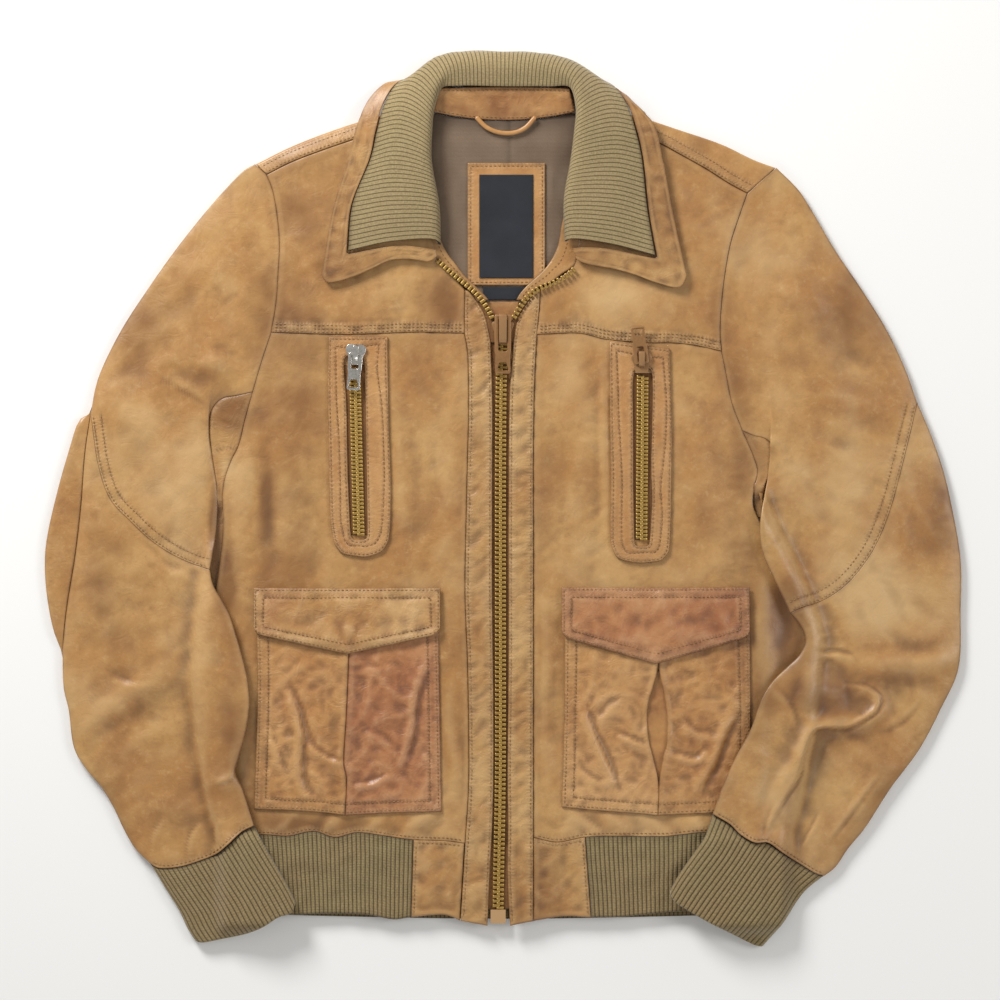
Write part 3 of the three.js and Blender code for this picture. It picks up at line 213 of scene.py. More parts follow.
def sideways(line, distance):  # a line in plan moved to its left by this distance
    line = np.asarray(line, float)
    way = np.gradient(line[:, :2], axis=0)
    way /= np.maximum(np.linalg.norm(way, axis=1, keepdims=True), 1e-6)
    out = line.copy()
    out[:, 0] -= way[:, 1] * distance
    out[:, 1] += way[:, 0] * distance
    return out


def fold(x, y, line, height, width):  # soft fold, highest in the middle of its length
    gap, along = nearLine(x, y, line, 4 * width)
    return height * bell(gap, width) * (0.25 + 0.75 * np.sin(np.pi * along))


def crest(x, y, line, height, width, sharp=0.45):
    # A creased ridge with a narrow valley along its left side, as its line runs.
    dense = curve(line) if len(line) > 2 else np.array([list(p) + [0] for p in line], float)
    gap, along = nearLine(x, y, dense, 4 * width)
    fade = np.sin(np.pi * np.clip(along, 0.02, 0.98)) ** 0.6
    ridge = height * fade * (sharp * bell(gap, 0.45 * width)
                             + (1 - sharp) * bell(gap, width))
    gap, along = nearLine(x, y, sideways(dense, 0.8 * width), 4 * width)
    fade = np.sin(np.pi * np.clip(along, 0.02, 0.98)) ** 0.6
    return ridge - 0.75 * height * fade * bell(gap, 0.38 * width)


seeded = np.random.default_rng(11)
noiseTable = seeded.permutation(1024)
noiseWays = seeded.uniform(0, 2 * np.pi, 1024)


def noise(x, y, size, seed=0):  # smooth gradient noise, about -1 to 1, cells of size mm
    x, y = np.asarray(x) / size + 71.3 * seed, np.asarray(y) / size - 37.7 * seed
    i, j = np.floor(x).astype(int), np.floor(y).astype(int)
    fx, fy = x - i, y - j
    u, v = [t * t * t * (t * (t * 6 - 15) + 10) for t in (fx, fy)]

    def corner(a, b):
        way = noiseWays[noiseTable[(noiseTable[(i + a) & 1023] + j + b) & 1023]]
        return np.cos(way) * (fx - a) + np.sin(way) * (fy - b)

    low = corner(0, 0) * (1 - u) + corner(1, 0) * u
    high = corner(0, 1) * (1 - u) + corner(1, 1) * u
    return 1.5 * (low * (1 - v) + high * v)


def creases(x, y, size, seed=0, turn=0.0, stretch=1.0):  # thin ridges between soft hollows
    c, s = math.cos(turn), math.sin(turn)
    a, b = (c * x + s * y) / stretch, -s * x + c * y
    bend = noise(x, y, 2.4 * size, seed + 5) * 0.5 * size
    return 1 - 2 * np.abs(noise(a + bend, b + bend, size, seed)) ** 0.8


# Seam lines, hem to neck or centre to side. Left is the side at -X
placketOutLowL = [[-37, -359], [-33, -293], [-30, -245], [-30, -190], [-31, -136], [-33, -82],
    [-32, -14], [-31, 31], [-30, 72], [-31, 126], [-33.6, 141]]
placketOutHighL = [[-33.6, 141], [-33.6, 161], [-33, 178]]
placketInLowL = [[-14, -363], [-12, -317], [-10, -278], [-9, -239], [-9, -171], [-10, -86],
    [-10, -1], [-10, 90], [-11.4, 135]]
placketInHighL = [[-11.4, 135], [-16.6, 157], [-23, 168], [-29.7, 177]]
neckEdgeL = [[-33, 178], [-41, 187], [-49, 196], [-57, 204], [-60, 218], [-64, 248], [-68, 286],
    [-68, 306], [-66, 322]]
yokeSeamL = [[-198, 142], [-173, 141], [-135, 140], [-103, 141], [-76, 142], [-54, 141.5],
    [-33.6, 141]]
sideLowL = [[-231, -286], [-240, -256], [-248, -205], [-252, -154], [-249, -103], [-243, -60],
    [-240, -37], [-239, -18], [-240, 2]]
armLowL = [[-240, 2], [-238, 16], [-232, 33], [-226, 45], [-220, 69], [-214, 91]]
armMidL = [[-214, 91], [-206, 118], [-198, 142]]
armHighL = [[-198, 142], [-194, 167], [-192, 195], [-191, 216], [-193, 241], [-197, 263],
    [-202, 276]]
armTipL = [[-202, 276], [-212, 285]]
shoulderSeamL = [[-202, 276], [-182, 286], [-156, 296], [-130, 305], [-97, 315], [-66, 322]]
shoulderTopL = [[-212, 285], [-184, 299], [-157, 310], [-125, 321], [-93, 330], [-66, 337]]
hemSeamL = [[-231, -286], [-216, -286], [-201, -286], [-184, -287], [-162, -283], [-144, -288],
    [-125, -284], [-93, -288], [-77, -290], [-50, -291], [-33, -293]]
hemBotL = [[-224, -354], [-183, -354], [-144, -353], [-116, -354], [-93, -358], [-79, -356],
    [-49, -354], [-37, -359]]
placketOutLowR = [[25, -359], [25, -317], [25, -288], [25, -239], [25, -137], [25, -28], [25, 45],
    [26, 99], [28, 140]]
placketOutHighR = [[28, 140], [30, 161], [31, 179]]
placketInLowR = [[5, -363], [3, -317], [3.5, -278], [3, -239], [4, -128], [4, -1], [5, 90],
    [8, 135]]
placketInHighR = [[8, 135], [12, 154], [19, 166], [27.5, 178]]
neckEdgeR = [[31, 179], [42, 184], [50, 190], [58, 197], [62, 206], [63, 220], [65, 248], [69, 286],
    [69, 306], [66, 322]]
yokeSeamR = [[28, 140], [65, 141], [86, 136], [124, 133], [143, 133], [162, 131], [185, 126]]
sideLowR = [[231, -286], [240, -256], [249, -205], [254, -154], [258, -118], [247, -80], [230, -45],
    [219, -22], [212, -4], [214, 13]]
armLowR = [[214, 13], [216, 24], [212, 37], [203, 58]]
armMidR = [[203, 58], [194, 82], [188, 112], [185, 126]]
armHighR = [[185, 126], [184, 144], [185, 164], [188, 191], [193, 218], [200, 240], [207, 260]]
armTipR = [[207, 260], [219, 271], [232, 282]]
shoulderSeamR = [[207, 260], [192, 268], [173, 280], [148, 294], [129, 304], [99, 315], [66, 322]]
shoulderTopR = [[232, 282], [213, 289], [186, 302], [145, 316], [124, 323], [94, 331], [66, 337]]
hemSeamR = [[25, -288], [45, -292], [67, -288], [82, -287], [105, -287], [138, -287], [170, -284],
    [201, -286], [231, -286]]
hemBotR = [[25, -359], [51, -355], [74, -356], [97, -356], [127, -353], [156, -351], [192, -353],
    [224, -354]]
pleatL = [[-135, -269], [-134, -236], [-136, -226], [-134, -185], [-132, -133], [-132, -86]]
pleatR = [[131, -269], [132, -243], [131, -177], [130, -86]]
# the right pleat gapes: its two lips, and the fold of leather behind them
pleatLipsR = [[[131, -269], [131.6, -243], [126.7, -218.5], [123.3, -205], [122.4, -178],
               [131, -141], [130, -86]],
              [[131, -269], [131.8, -243], [135.2, -218.5], [137.7, -210], [138.6, -184.5],
               [131.5, -141], [130, -86]]]
pocketFootL = [[-213, -264], [-166, -266], [-135, -269]]
pocketFootMidL = [[-135, -269], [-93, -267], [-53, -266]]
pocketOutL = [[-213, -264], [-211, -207], [-210, -162], [-211, -86]]
pocketInL = [[-53, -266], [-54, -207], [-55, -148], [-56, -86]]
pocketFootR = [[131, -269], [177, -267], [209, -263]]
pocketFootMidR = [[49, -262], [68, -264], [131, -269]]
pocketInR = [[49, -262], [51, -192], [52, -86]]
pocketOutR = [[209, -263], [210, -195], [209, -86]]
weltL = [[-149, 138], [-150, 96], [-149, 26], [-148, -17], [-145, -38], [-138, -47], [-117, -50],
    [-103, -45], [-97, -34], [-96, 11], [-98, 68], [-99, 138]]
slotL = [[-137, 122], [-134, 82], [-133, 26], [-131, -24], [-130, -32], [-127, -35], [-120, -35],
    [-116, -33], [-116, -17], [-117, 39], [-118, 96], [-119, 122]]
weltR = [[90, 134], [90, 68], [91, 11], [90, -38], [96, -51], [115, -55], [134, -53], [141, -45],
    [142, -17], [143, 54], [142, 90], [141, 128]]
slotR = [[109, 110], [110, 54], [110, 11], [111, -38], [113, -40], [118, -40], [122, -40],
    [124, -38], [126, -3], [125, 32], [126, 54], [127, 112]]
sleeveInUpL = [[-214, 91], [-228, 88], [-241, 85], [-250, 74], [-251, 54], [-248, 33], [-244, 6],
    [-244, -14], [-246, -37], [-250, -60]]
sleeveInLowL = [[-250, -60], [-247, -73], [-235, -94], [-228, -114], [-218, -152], [-216, -171],
    [-218, -192], [-225, -220], [-228, -232], [-222, -246], [-219, -255], [-216, -264],
    [-212, -277]]
sleeveOutUpL = [[-212, 285], [-221, 280], [-238, 263], [-253, 246], [-280, 212], [-304, 178],
    [-326, 144], [-343, 110], [-348, 95], [-352, 73]]
sleeveSeamLowL = [[-352, 73], [-357, 38], [-360, -3], [-365, -47], [-372, -90], [-375, -116],
    [-376, -133]]
sleeveOutLowL = [[-376, -133], [-375, -162], [-371, -179], [-366, -213], [-356, -230], [-342, -247],
    [-332, -264], [-324, -281], [-314, -298], [-302, -310]]
sleeveEdgeL = [[-352, 73], [-361, 68], [-371, 40], [-380, 8], [-388, -26], [-391, -48], [-390, -77],
    [-384, -111], [-376.5, -133]]
elbowL = [[-250, -60], [-266, -55], [-283, -47], [-301, -35], [-318, -19], [-334, -2], [-344, 23],
    [-352, 73]]
cuffSeamL = [[-212, -277], [-222, -282], [-234, -293], [-245, -302], [-262, -309], [-276, -313],
    [-294, -314], [-302, -310]]
cuffEndL = [[-176, -342], [-180, -351], [-191, -355], [-205, -364], [-219, -370], [-241, -375],
    [-258, -378], [-263, -377]]
cuffInL = [[-212, -277], [-198, -302], [-184, -326], [-176, -342]]
cuffOutL = [[-302, -310], [-290, -330], [-277, -351], [-270, -366], [-263, -377]]
sleeveInUpR = [[203, 58], [213, 54], [223, 51], [231, 42], [228, 27], [223, 8], [219, -8],
    [217, -26], [220, -47], [230, -69], [243, -97]]
sleeveInLowR = [[243, -97], [252, -108], [256, -120], [251, -132], [241, -142], [227, -156],
    [219, -169], [209, -196], [197, -218], [186, -242], [177, -267]]
sleeveOutUpR = [[232, 282], [251, 263], [262, 246], [282, 212], [305, 178], [326, 144], [342, 110],
    [352, 82]]
sleeveOutLowR = [[352, 82], [362, 59], [374, 25], [382, -9], [389, -52], [389, -94], [387, -145],
    [372, -179], [354, -213], [329, -247], [307, -281], [293, -298], [282, -314], [273, -321]]
elbowR = [[243, -97], [253, -92], [270, -87], [291, -73], [312, -47], [326, -17], [339, 29],
    [352, 82]]
cuffSeamR = [[177, -267], [192, -276], [200, -284], [213, -291], [223, -291], [235, -299],
    [251, -310], [266, -319], [273, -321]]
cuffInR = [[177, -267], [170, -286], [159, -302], [148, -318], [140, -332]]
cuffEndR = [[140, -332], [143, -340], [159, -351], [186, -366], [213, -380], [220, -382]]
cuffOutR = [[273, -321], [257, -334], [241, -356], [227, -374], [220, -382]]
bandTop = [[-56, 216, 12.5], [-57, 248, 16], [-63.5, 287, 19], [-63, 310, 19.5], [-61, 330, 19],
    [-54, 349, 16.5], [-38, 351, 15.5], [0, 350.5, 15], [38, 350.5, 15.5], [57, 350, 16.5],
    [63, 330, 19], [61, 310, 19.5], [58, 287, 19], [53, 255, 16.5], [54, 219, 12.5]]
rollLine = [[-58, 220, 15.5], [-59, 248, 19.5], [-66, 287, 22.5], [-66, 310, 23], [-64, 333, 22.5],
    [-57, 353, 20.5], [-42, 368, 18.5], [0, 368, 17.5], [40, 367, 18.5], [60, 356, 20.5],
    [66, 333, 22.5], [65, 310, 23], [62, 287, 22.5], [55, 253, 19.5], [56, 221, 15.5]]
leafLine = [[-95, 219, 15.5], [-95, 240, 18], [-92, 285, 19.5], [-89, 312, 19.5], [-84, 336, 18],
    [-75, 356, 14.5], [-56, 374, 10], [0, 378.5, 9], [54, 372, 10], [76, 356, 14.5], [86, 336, 18],
    [92, 312, 19.5], [93, 285, 19.5], [93, 240, 18], [90, 217, 15.5]]
inlaySeam = [[-132, 211, 13.6], [-128, 250, 13.6], [-112, 290, 13.8], [-107, 312, 14.2],
    [-100, 336, 12], [-88, 353, 7], [-66, 357, 0.8], [0, 347, 0.6], [66, 357, 0.8], [90, 351, 7],
    [103, 335, 12], [111, 312, 14.2], [116, 290, 13.8], [121, 246, 13.6], [128, 207, 13.6]]
collarEdge = [[-155, 190, 12.6], [-145, 247, 12.8], [-131, 292, 13.2], [-125, 316, 12.8],
    [-113, 341, 7.5], [-97, 353, 3.5], [-70, 338, 0.6], [0, 325, 0.6], [70, 338, 0.6],
    [99, 344, 3.5], [110, 335, 8.5], [127, 318, 12.6], [134, 292, 13.2], [144, 240, 12.8],
    [155, 190, 12.6]]
frontInL = [[-58, 214, 13.6], [-78, 217, 14], [-95, 216.5, 14], [-110, 214, 13.8],
    [-124, 211, 13.6], [-132, 209.5, 13.6]]
frontOutL = [[-57, 206, 13.2], [-64, 202, 13], [-80, 204, 13], [-96, 203, 13], [-112, 196, 12.8],
    [-128, 189, 12.8], [-150, 184, 12.6], [-155, 189, 12.6]]
frontInR = [[128, 205.5, 13.6], [116, 208, 13.6], [99, 212, 13.8], [82, 215, 14], [65, 216, 14],
    [57, 215, 13.6]]
frontOutR = [[155, 189, 12.6], [150, 180, 12.6], [132, 183, 12.8], [113, 190, 12.8], [96, 195, 13],
    [80, 198, 13], [70, 200, 13], [62, 203, 13.2]]
facingOutL = [[-23.5, 168, 9.7], [-26.5, 173, 9.7], [-31, 178.5, 9.7], [-41.5, 188, 9.7],
    [-49.5, 197, 9.7], [-57, 206, 9.7], [-61, 220, 10], [-65, 248, 10], [-69, 286, 11.2],
    [-69, 306, 12.4], [-66.5, 318, 12.8]]
facingInL = [[-13, 169.5, 9.3], [-17, 174, 9.3], [-24, 181, 9.3], [-34, 191, 9.3], [-42, 201, 9.4],
    [-50, 212, 9.8], [-55, 224, 11], [-57.5, 248, 13.6], [-63.5, 286, 16.8], [-63.5, 306, 17.4],
    [-62, 318, 17.2]]
facingOutR = [[20.5, 168.5, 9.7], [24, 174, 9.7], [29.5, 180, 9.7], [42, 185, 9.7],
    [50, 191.5, 9.7], [58.5, 199.5, 9.7], [64, 220, 10], [66, 248, 10], [70, 286, 11.2],
    [70, 306, 12.4], [67, 318, 12.8]]
facingInR = [[10.5, 169.5, 9.3], [13, 174, 9.3], [18, 180, 9.3], [33, 194, 9.3], [40, 203, 9.4],
    [46, 216, 9.8], [49, 232, 11], [54, 254, 13.6], [58.5, 286, 16.8], [62.5, 306, 17.4],
    [63, 318, 17.2]]
zipLine = [[-5, -349], [-4.5, -317], [-3.2, -239], [-3, -128], [-3, -1], [-2.5, 90],
    [-1.6, 146.1]]
teethL = [[-56, 203, 12.3], [-46, 194, 12.3], [-37, 186.5, 12.3], [-29, 180, 12.3],
    [-22, 173.5, 12.3], [-15, 164, 12.3], [-11, 157, 12.3], [-8.5, 151, 12.3]]
teethR = [[61, 197, 12.3], [53, 190, 12.3], [43, 184.5, 12.3], [33, 180.5, 12.3], [25, 176.5, 12.3],
    [19, 171, 12.3], [12.5, 162, 12.3], [9, 156, 12.3], [6.5, 151, 12.3]]

# Heights shared by all pieces of the body
def neckLift(x, y):
    return jacket["neckRise"] * ease((116 - np.abs(x)) / 30) * ease((y - 280) / 26)


def torsoTop(x, y):
    across = np.minimum(1, np.abs(x) / jacket["halfWidth"])
    swell = 0.45 * np.sin(x / 43 + 1) * np.cos(y / 57) * (1 - across ** 2)
    return jacket["edgeTop"] + jacket["fullness"] * (1 - across ** 4) + swell + neckLift(x, y)


def xAt(line, y):
    p = np.array(line, float)
    return np.abs(np.interp(y, p[:, 1], p[:, 0]))


def climb(side, x, y):  # how high a sleeve lies where it runs up over the body's edge
    edge = xAt(sideLowL if side == "left" else sideLowR, y)
    near = ease((edge + 19 - np.abs(x)) / 17)
    down = ease((-18 - y) / 46) if side == "left" else ease((18 - y) / 30)
    pad = 1.8 + 2.3 * ease((226 - np.abs(x)) / 10) + 2.9 * ease((-280 - y) / 10)
    return near * down * ease((y + 376) / 17) * (torsoTop(x, y) + pad)


# Soft folds of the body, each a line, its height and its half width in mm
bodyFolds = [
    ([[-192, 128], [-186, 60], [-190, -10], [-196, -60]], 1.3, 14),
    ([[-216, 62], [-226, -3], [-229, -61]], 1.5, 9),
    ([[-201, 17], [-199, -29], [-196, -56]], -1.4, 7),
    ([[218, -60], [219, -110], [216, -154]], 1.4, 8),
    ([[232, -72], [240, -104], [236, -136]], -1.6, 7),
    ([[-47, 120], [-45, 20], [-47, -60], [-44, -120]], 0.9, 10),
    ([[84, 128], [85, 60], [86, -34]], 1.3, 4),
    ([[-88, 50], [-86, 0], [-88, -44]], 0.9, 7),
    ([[-44, -150], [-47, -190], [-41, -230], [-45, -262]], 1.5, 5),
    ([[-95, -60], [-60, -40], [-40, -20]], 0.8, 12),
    ([[160, 80], [172, 20], [180, -50]], 1.1, 15),
    ([[60, 120], [66, 40], [62, -40], [58, -66]], 0.9, 11),
    ([[30, -60], [36, -120], [33, -190], [38, -260]], 1.1, 5),
    ([[205, -20], [190, -50], [150, -62]], 1.2, 12),
    ([[222, -120], [226, -180], [222, -250]], 1.6, 8),
    ([[-222, -130], [-226, -190], [-221, -255]], 1.6, 8),
    ([[120, 250], [160, 230], [184, 190]], 1.0, 16),
    ([[-130, 255], [-165, 225], [-186, 190]], 1.0, 16),
    ([[-70, 190], [-110, 170], [-160, 168]], 0.7, 14),
    ([[75, 180], [120, 165], [165, 160]], 0.7, 14),
    ([[-58, -40], [-54, -80]], 0.6, 8),
    ([[52, -265], [66, -274], [80, -287]], 1.6, 4),
    ([[85, -269], [97, -277], [107, -287]], 1.5, 4),
    ([[118, -271], [130, -279], [141, -288]], 1.2, 4),
    ([[160, -270], [166, -279], [177, -287]], 1.2, 4),
    ([[-60, -268], [-75, -276], [-86, -286]], 1.5, 4),
    ([[-100, -270], [-112, -279], [-120, -287]], 1.3, 4),
    ([[-140, -272], [-150, -279], [-154, -287]], 1.3, 4),
    ([[-180, -270], [-188, -278], [-200, -285]], 1.3, 4),
]


def bodyRelief(x, y):
    total = 0.95 * noise(x, y * 0.55, 54, 1) + 0.45 * noise(x, y * 0.6, 25, 2)
    total = total + 0.35 * creases(x, y, 30, 4, 1.3, 2.2)
    for line, high, wide in bodyFolds:
        total = total + fold(x, y, curve(line), high, wide)
    # drawn up above the rib hem
    gather = ease((-252 - y) / 34) * np.clip(0.5 + noise(x, y, 15, 3), 0, 1) * 1.1
    return (total + gather) * jacket["crease"]


def bodyTop(x, y):
    return torsoTop(x, y) + bodyRelief(x, y)


# Names of the values kept on every point, that the materials read
plainMarks = {key: 0.0 for key in ("dirt_and_shade", "wear_and_highlight", "tone", "crumple", "across", "along")}


def setMesh(name, points, quads, values, looks, faceLook=None):
    mesh = bpy.data.meshes.new(name)
    points = np.asarray(points, np.float32)
    faces = np.asarray(quads, np.int32)
    mesh.vertices.add(len(points))
    mesh.vertices.foreach_set("co", (points / 1000).ravel())
    mesh.loops.add(faces.size)
    mesh.loops.foreach_set("vertex_index", faces.ravel())
    mesh.polygons.add(len(faces))
    mesh.polygons.foreach_set("loop_start", np.arange(len(faces)) * faces.shape[1])
    for key, value in values.items():
        layer = mesh.attributes.new(key, "FLOAT", "POINT")
        layer.data.foreach_set("value", np.broadcast_to(value, len(points)).astype(np.float32))
    for look in looks:
        mesh.materials.append(look)
    if faceLook is not None:
        mesh.polygons.foreach_set("material_index", np.asarray(faceLook, np.int32))
    mesh.update(calc_edges=True)
    mesh.validate()
    mesh.shade_smooth()
    piece = bpy.data.objects.new(name, mesh)
    bpy.context.scene.collection.objects.link(piece)
    return piece


def sew(piece, nodes=(), body="jacket"):
    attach(piece, body)
    if nodes:
        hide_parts(*nodes)
    return piece


def softEdges(piece, width, segments, angle=None):  # mm, rounded where the faces turn by the angle
    bevel = piece.modifiers.new("soft edges", "BEVEL")
    bevel.width = width / 1000
    bevel.segments = segments
    if angle is not None:
        bevel.limit_method = "ANGLE"
        bevel.angle_limit = math.radians(angle)


def asCut(grid, ring=False):  # the flat cut: the grid's size before creases, in metres, worked out but not kept
    across = np.linalg.norm(np.diff(grid, axis=1), axis=2).sum(1)
    if ring:
        across = across + np.linalg.norm(grid[:, 0] - grid[:, -1], axis=1)
    up = np.linalg.norm(np.diff(grid, axis=0), axis=2).sum(0)
    wide, long = across.max() / 1000, up.max() / 1000
    a, b, c, d = grid[:-1, :-1], grid[:-1, 1:], grid[1:, 1:], grid[1:, :-1]
    area = np.linalg.norm(np.cross(c - a, d - b), axis=2).sum() / 2
    if ring:
        area = area + (up.mean() * np.linalg.norm(grid[:, 0] - grid[:, -1], axis=1).mean())
    area = min(area / 1e6, wide * long)
    if min(wide, long) < 0.0101:  # a strip narrower than a sheet can be
        return


def shell(name, top, under, look, values, nodes=None, ring=False, cut=None):
    # A wall between an outer and an inner grid of points, closed along its rims.
    rows, cols = top.shape[:2]
    cells = cols if ring else cols - 1
    number = np.arange(rows * cols).reshape(rows, cols)
    i = np.arange(cells)
    a, b = number[:-1, i], number[:-1, (i + 1) % cols]
    d, c = number[1:, i], number[1:, (i + 1) % cols]
    half = rows * cols
    quads = [np.stack([a, b, c, d], -1).reshape(-1, 4),
             np.stack([a, d, c, b], -1).reshape(-1, 4) + half]
    for row, flip in ((0, 1), (rows - 1, 0)):
        p, q = number[row, i], number[row, (i + 1) % cols]
        side = [p, p + half, q + half, q] if flip else [p, q, q + half, p + half]
        quads.append(np.stack(side, -1))
    if not ring:
        for col, flip in ((0, 0), (cols - 1, 1)):
            p, q = number[:-1, col], number[1:, col]
            side = [p, p + half, q + half, q] if flip else [p, q, q + half, p + half]
            quads.append(np.stack(side, -1))
    quads = np.vstack(quads)
    points = np.vstack([top.reshape(-1, 3), under.reshape(-1, 3)])
    # the faces look outward whichever way the grid was laid
    p = points[quads]
    normal = np.cross(p[:, 2] - p[:, 0], p[:, 3] - p[:, 1])
    if (normal * p.mean(1)).sum() < 0:
        quads = quads[:, ::-1]
    both = {}
    for key in values:
        value = np.broadcast_to(values[key], (rows, cols)).ravel()
        both[key] = np.r_[value, value]
    piece = setMesh(name + "_sewn", points, quads, both, [look])
    asCut(smoothed(top, 3) if cut is None else cut, ring)
    return sew(piece, nodes if nodes is not None else [name])


def turnedEdge(gap, radius):  # how far an edge's rounding drops at this distance from the rim
    g = np.clip(gap, 0, radius)
    return radius - np.sqrt(np.maximum(0, radius ** 2 - (radius - g) ** 2))


def smoothed(z, passes):  # neighbours averaged along rows and columns
    for _ in range(passes):
        for axis in (0, 1):
            a = np.pad(z, [(1, 1) if k == axis else (0, 0) for k in range(z.ndim)], "edge")
            low, high = (a[:-2], a[2:]) if axis == 0 else (a[:, :-2], a[:, 2:])
            z = 0.5 * z + 0.25 * (low + high)
    return z


def leatherMarks(x, y, gap, lines, tone=0.0, crumple=0.0, z=None):
    # Darker along the rims and the stitching, paler rubbed edges, a painted highlight on the crests and
    # painted shade in the hollows of the relief, and the hide's tone patches.
    dirt_and_shade = 0.45 * bell(gap, 1.0) + 0.20 * bell(gap, 6.0)
    wear_and_highlight = 0.30 * bell(gap - 2.6, 1.8)
    near, place = np.full(np.shape(x), 99.0), np.zeros(np.shape(x))
    for line in lines:
        d, along = nearLine(x, y, line, 12)
        dirt_and_shade = dirt_and_shade + 0.20 * bell(d, 0.9) + 0.03 * bell(d, 5.0)
        wear_and_highlight = wear_and_highlight + 0.16 * bell(d - 1.9, 1.3)
        place = np.where(d < near, along * lengths(np.asarray(line, float))[-1], place)
        near = np.minimum(near, d)
    dirt_and_shade = dirt_and_shade * (0.75 + 0.6 * noise(x, y, 9, 21))
    if z is not None:
        # painted light: the relief's crests get a painted highlight, its hollows painted shade
        crest = (z - smoothed(z, 12)) * np.clip((gap - 1.5) / 3, 0, 1)
        wear_and_highlight = wear_and_highlight + np.clip(0.8 * crest - 0.04, 0, 0.5)
        dirt_and_shade = dirt_and_shade + np.clip(-1.0 * crest - 0.04, 0, 0.6)
    return {"dirt_and_shade": np.clip(dirt_and_shade, 0, 1), "wear_and_highlight": np.clip(wear_and_highlight, 0, 1),
            "tone": tone + dyeToneAndPaintedLight(x, y), "crumple": crumple + 0.0 * x,
            "across": bell(near, 1.9), "along": place}


# Paler (above 0) and browner (below 0) patches, of dye and of painted light: x, y, rx, ry, how much
# Browner patches near the armholes, on the left front's side folds, in the gap beside the left sleeve,
# in its crook and in the right sleeve's notch are painted shade; the pale one at 99, 178 on the right
# yoke is a painted highlight.
dyePatchesAndPaintedLight = [
    (-290, 40, 46, 60, 0.3), (-250, 130, 40, 60, 0.15), (-340, -40, 20, 90, -0.4),
    (-300, -230, 50, 60, 0.35), (-260, -120, 40, 60, 0.25), (-196, 70, 24, 70, -0.35),
    (-178, 40, 16, 60, -0.45), (-120, 220, 60, 40, 0.1), (-175, 240, 24, 40, -0.35),
    (-74, 30, 20, 60, -0.15), (-60, 170, 24, 30, -0.35), (-60, 60, 26, 60, 0.25),
    (150, 30, 40, 60, 0.1), (78, -20, 20, 50, 0.25), (120, 200, 60, 40, 0.12),
    (186, 160, 20, 50, -0.3), (290, 30, 50, 60, 0.35), (250, 150, 40, 70, 0.1),
    (328, -86, 40, 34, 1.1), (268, -168, 34, 18, -1.0), (300, -250, 40, 30, -0.2),
    (240, -260, 40, 50, 0.15), (372, 10, 16, 70, -0.35), (-60, -200, 12, 70, 0.1),
    (-140, -282, 70, 12, -0.7), (140, -280, 70, 12, 0.2), (-180, -60, 40, 16, -0.2),
    (60, -60, 60, 16, -0.15), (40, 60, 12, 80, -0.1), (204, 60, 14, 60, -0.3),
    (-228, -190, 14, 70, -0.6), (222, -168, 12, 22, -0.5), (-235, -72, 9, 28, -1.0),
    (-204, -12, 9, 46, -1.0), (243, -104, 13, 30, -1.3), (232, -242, 26, 40, 0.3),
    (62, 30, 22, 90, 0.35),
    (-213, 20, 8, 60, 0.3), (200, 20, 10, 50, -0.5),
    (-230, 72, 18, 20, -0.9), (-240, 26, 10, 13, 0.6), (-246, -20, 6, 50, -1.2),
    (-50, 164, 14, 20, -0.45), (46, 164, 10, 20, -0.45), (99, 178, 30, 16, 0.5),
    (-330, -250, 16, 60, -0.3), (344, -40, 16, 40, -0.4), (290, 230, 30, 20, 0.3),
]


def dyeToneAndPaintedLight(x, y):
    total = 0.44 * noise(x, y * 0.7, 95, 8) + 0.34 * noise(x, y * 0.7, 38, 9)
    total = total + 0.20 * noise(x, y, 16, 10)
    for px, py, rx, ry, much in dyePatchesAndPaintedLight:
        total = total + much * np.exp(-((x - px) / rx) ** 2 - ((y - py) / ry) ** 2)
    return total


def wrinkles(x, y):  # the hide's fine wrinkles, in two sizes that run different ways
    way = 1.2 * noise(x, y, 130, 44)
    first = creases(x, y, 13, 41, 0.5, 1.7) * (0.7 + 0.6 * noise(x, y, 60, 45))
    return 1.2 * first + 0.4 * creases(x, y, 6.5, 42, 2.1, 1.5) * (0.5 + way)


def panel(name, grid, heightOf, look, style, lines=(), nodes=None):
    # One leather piece lying level: rounded rims, dents along its stitching and small puckers.
    grid = drawIn(grid, style.get("gap", jacket["seamGap"]))
    x, y = grid[..., 0], grid[..., 1]
    gap = rimDistance(grid)
    z = heightOf(x, y)
    full = style.get("edge", 1.0)
    z = z + style.get("puff", 0.0) * bell(gap - 2.4, 1.9)
    for line in lines:
        d, _ = nearLine(x, y, line, 14)
        z = z - style.get("dent", 0.35) * bell(d, 1.1)
        pucker = noise(x, y, style.get("puckerSize", 7), 31) * bell(d, 5)
        z = z + style.get("pucker", 0.16) * pucker
    z = z + style.get("grain", 0.10) * wrinkles(x, y) * np.clip(gap / 4, 0, 1)
    relief = z
    depth = style.get("depth", jacket["wall"])
    low = z - depth
    z = z - turnedEdge(gap, full)
    low = np.minimum(low, z - jacket["thinnest"])
    values = leatherMarks(x, y, gap, lines, style.get("tone", 0.0), style.get("crumple", 0.3),
                          relief)
    top = raised(x, y, z)
    under = raised(x, y, low)
    return shell(name, top, under, look, values, nodes)


# Materials. Colours are sRGB hex, turned linear here
def linear(code):
    parts = [int(code[k:k + 2], 16) / 255 for k in (1, 3, 5)]
    return [c / 12.92 if c <= 0.04045 else ((c + 0.055) / 1.055) ** 2.4 for c in parts] + [1]


def addNode(tree, kind, settings=None, links=None):
    node = tree.nodes.new(kind)
    for key, value in (settings or {}).items():
        if isinstance(key, str) and hasattr(node, key):
            setattr(node, key, value)
        else:
            node.inputs[key].default_value = value
    for key, source in (links or {}).items():
        tree.links.new(source, node.inputs[key])
    return node


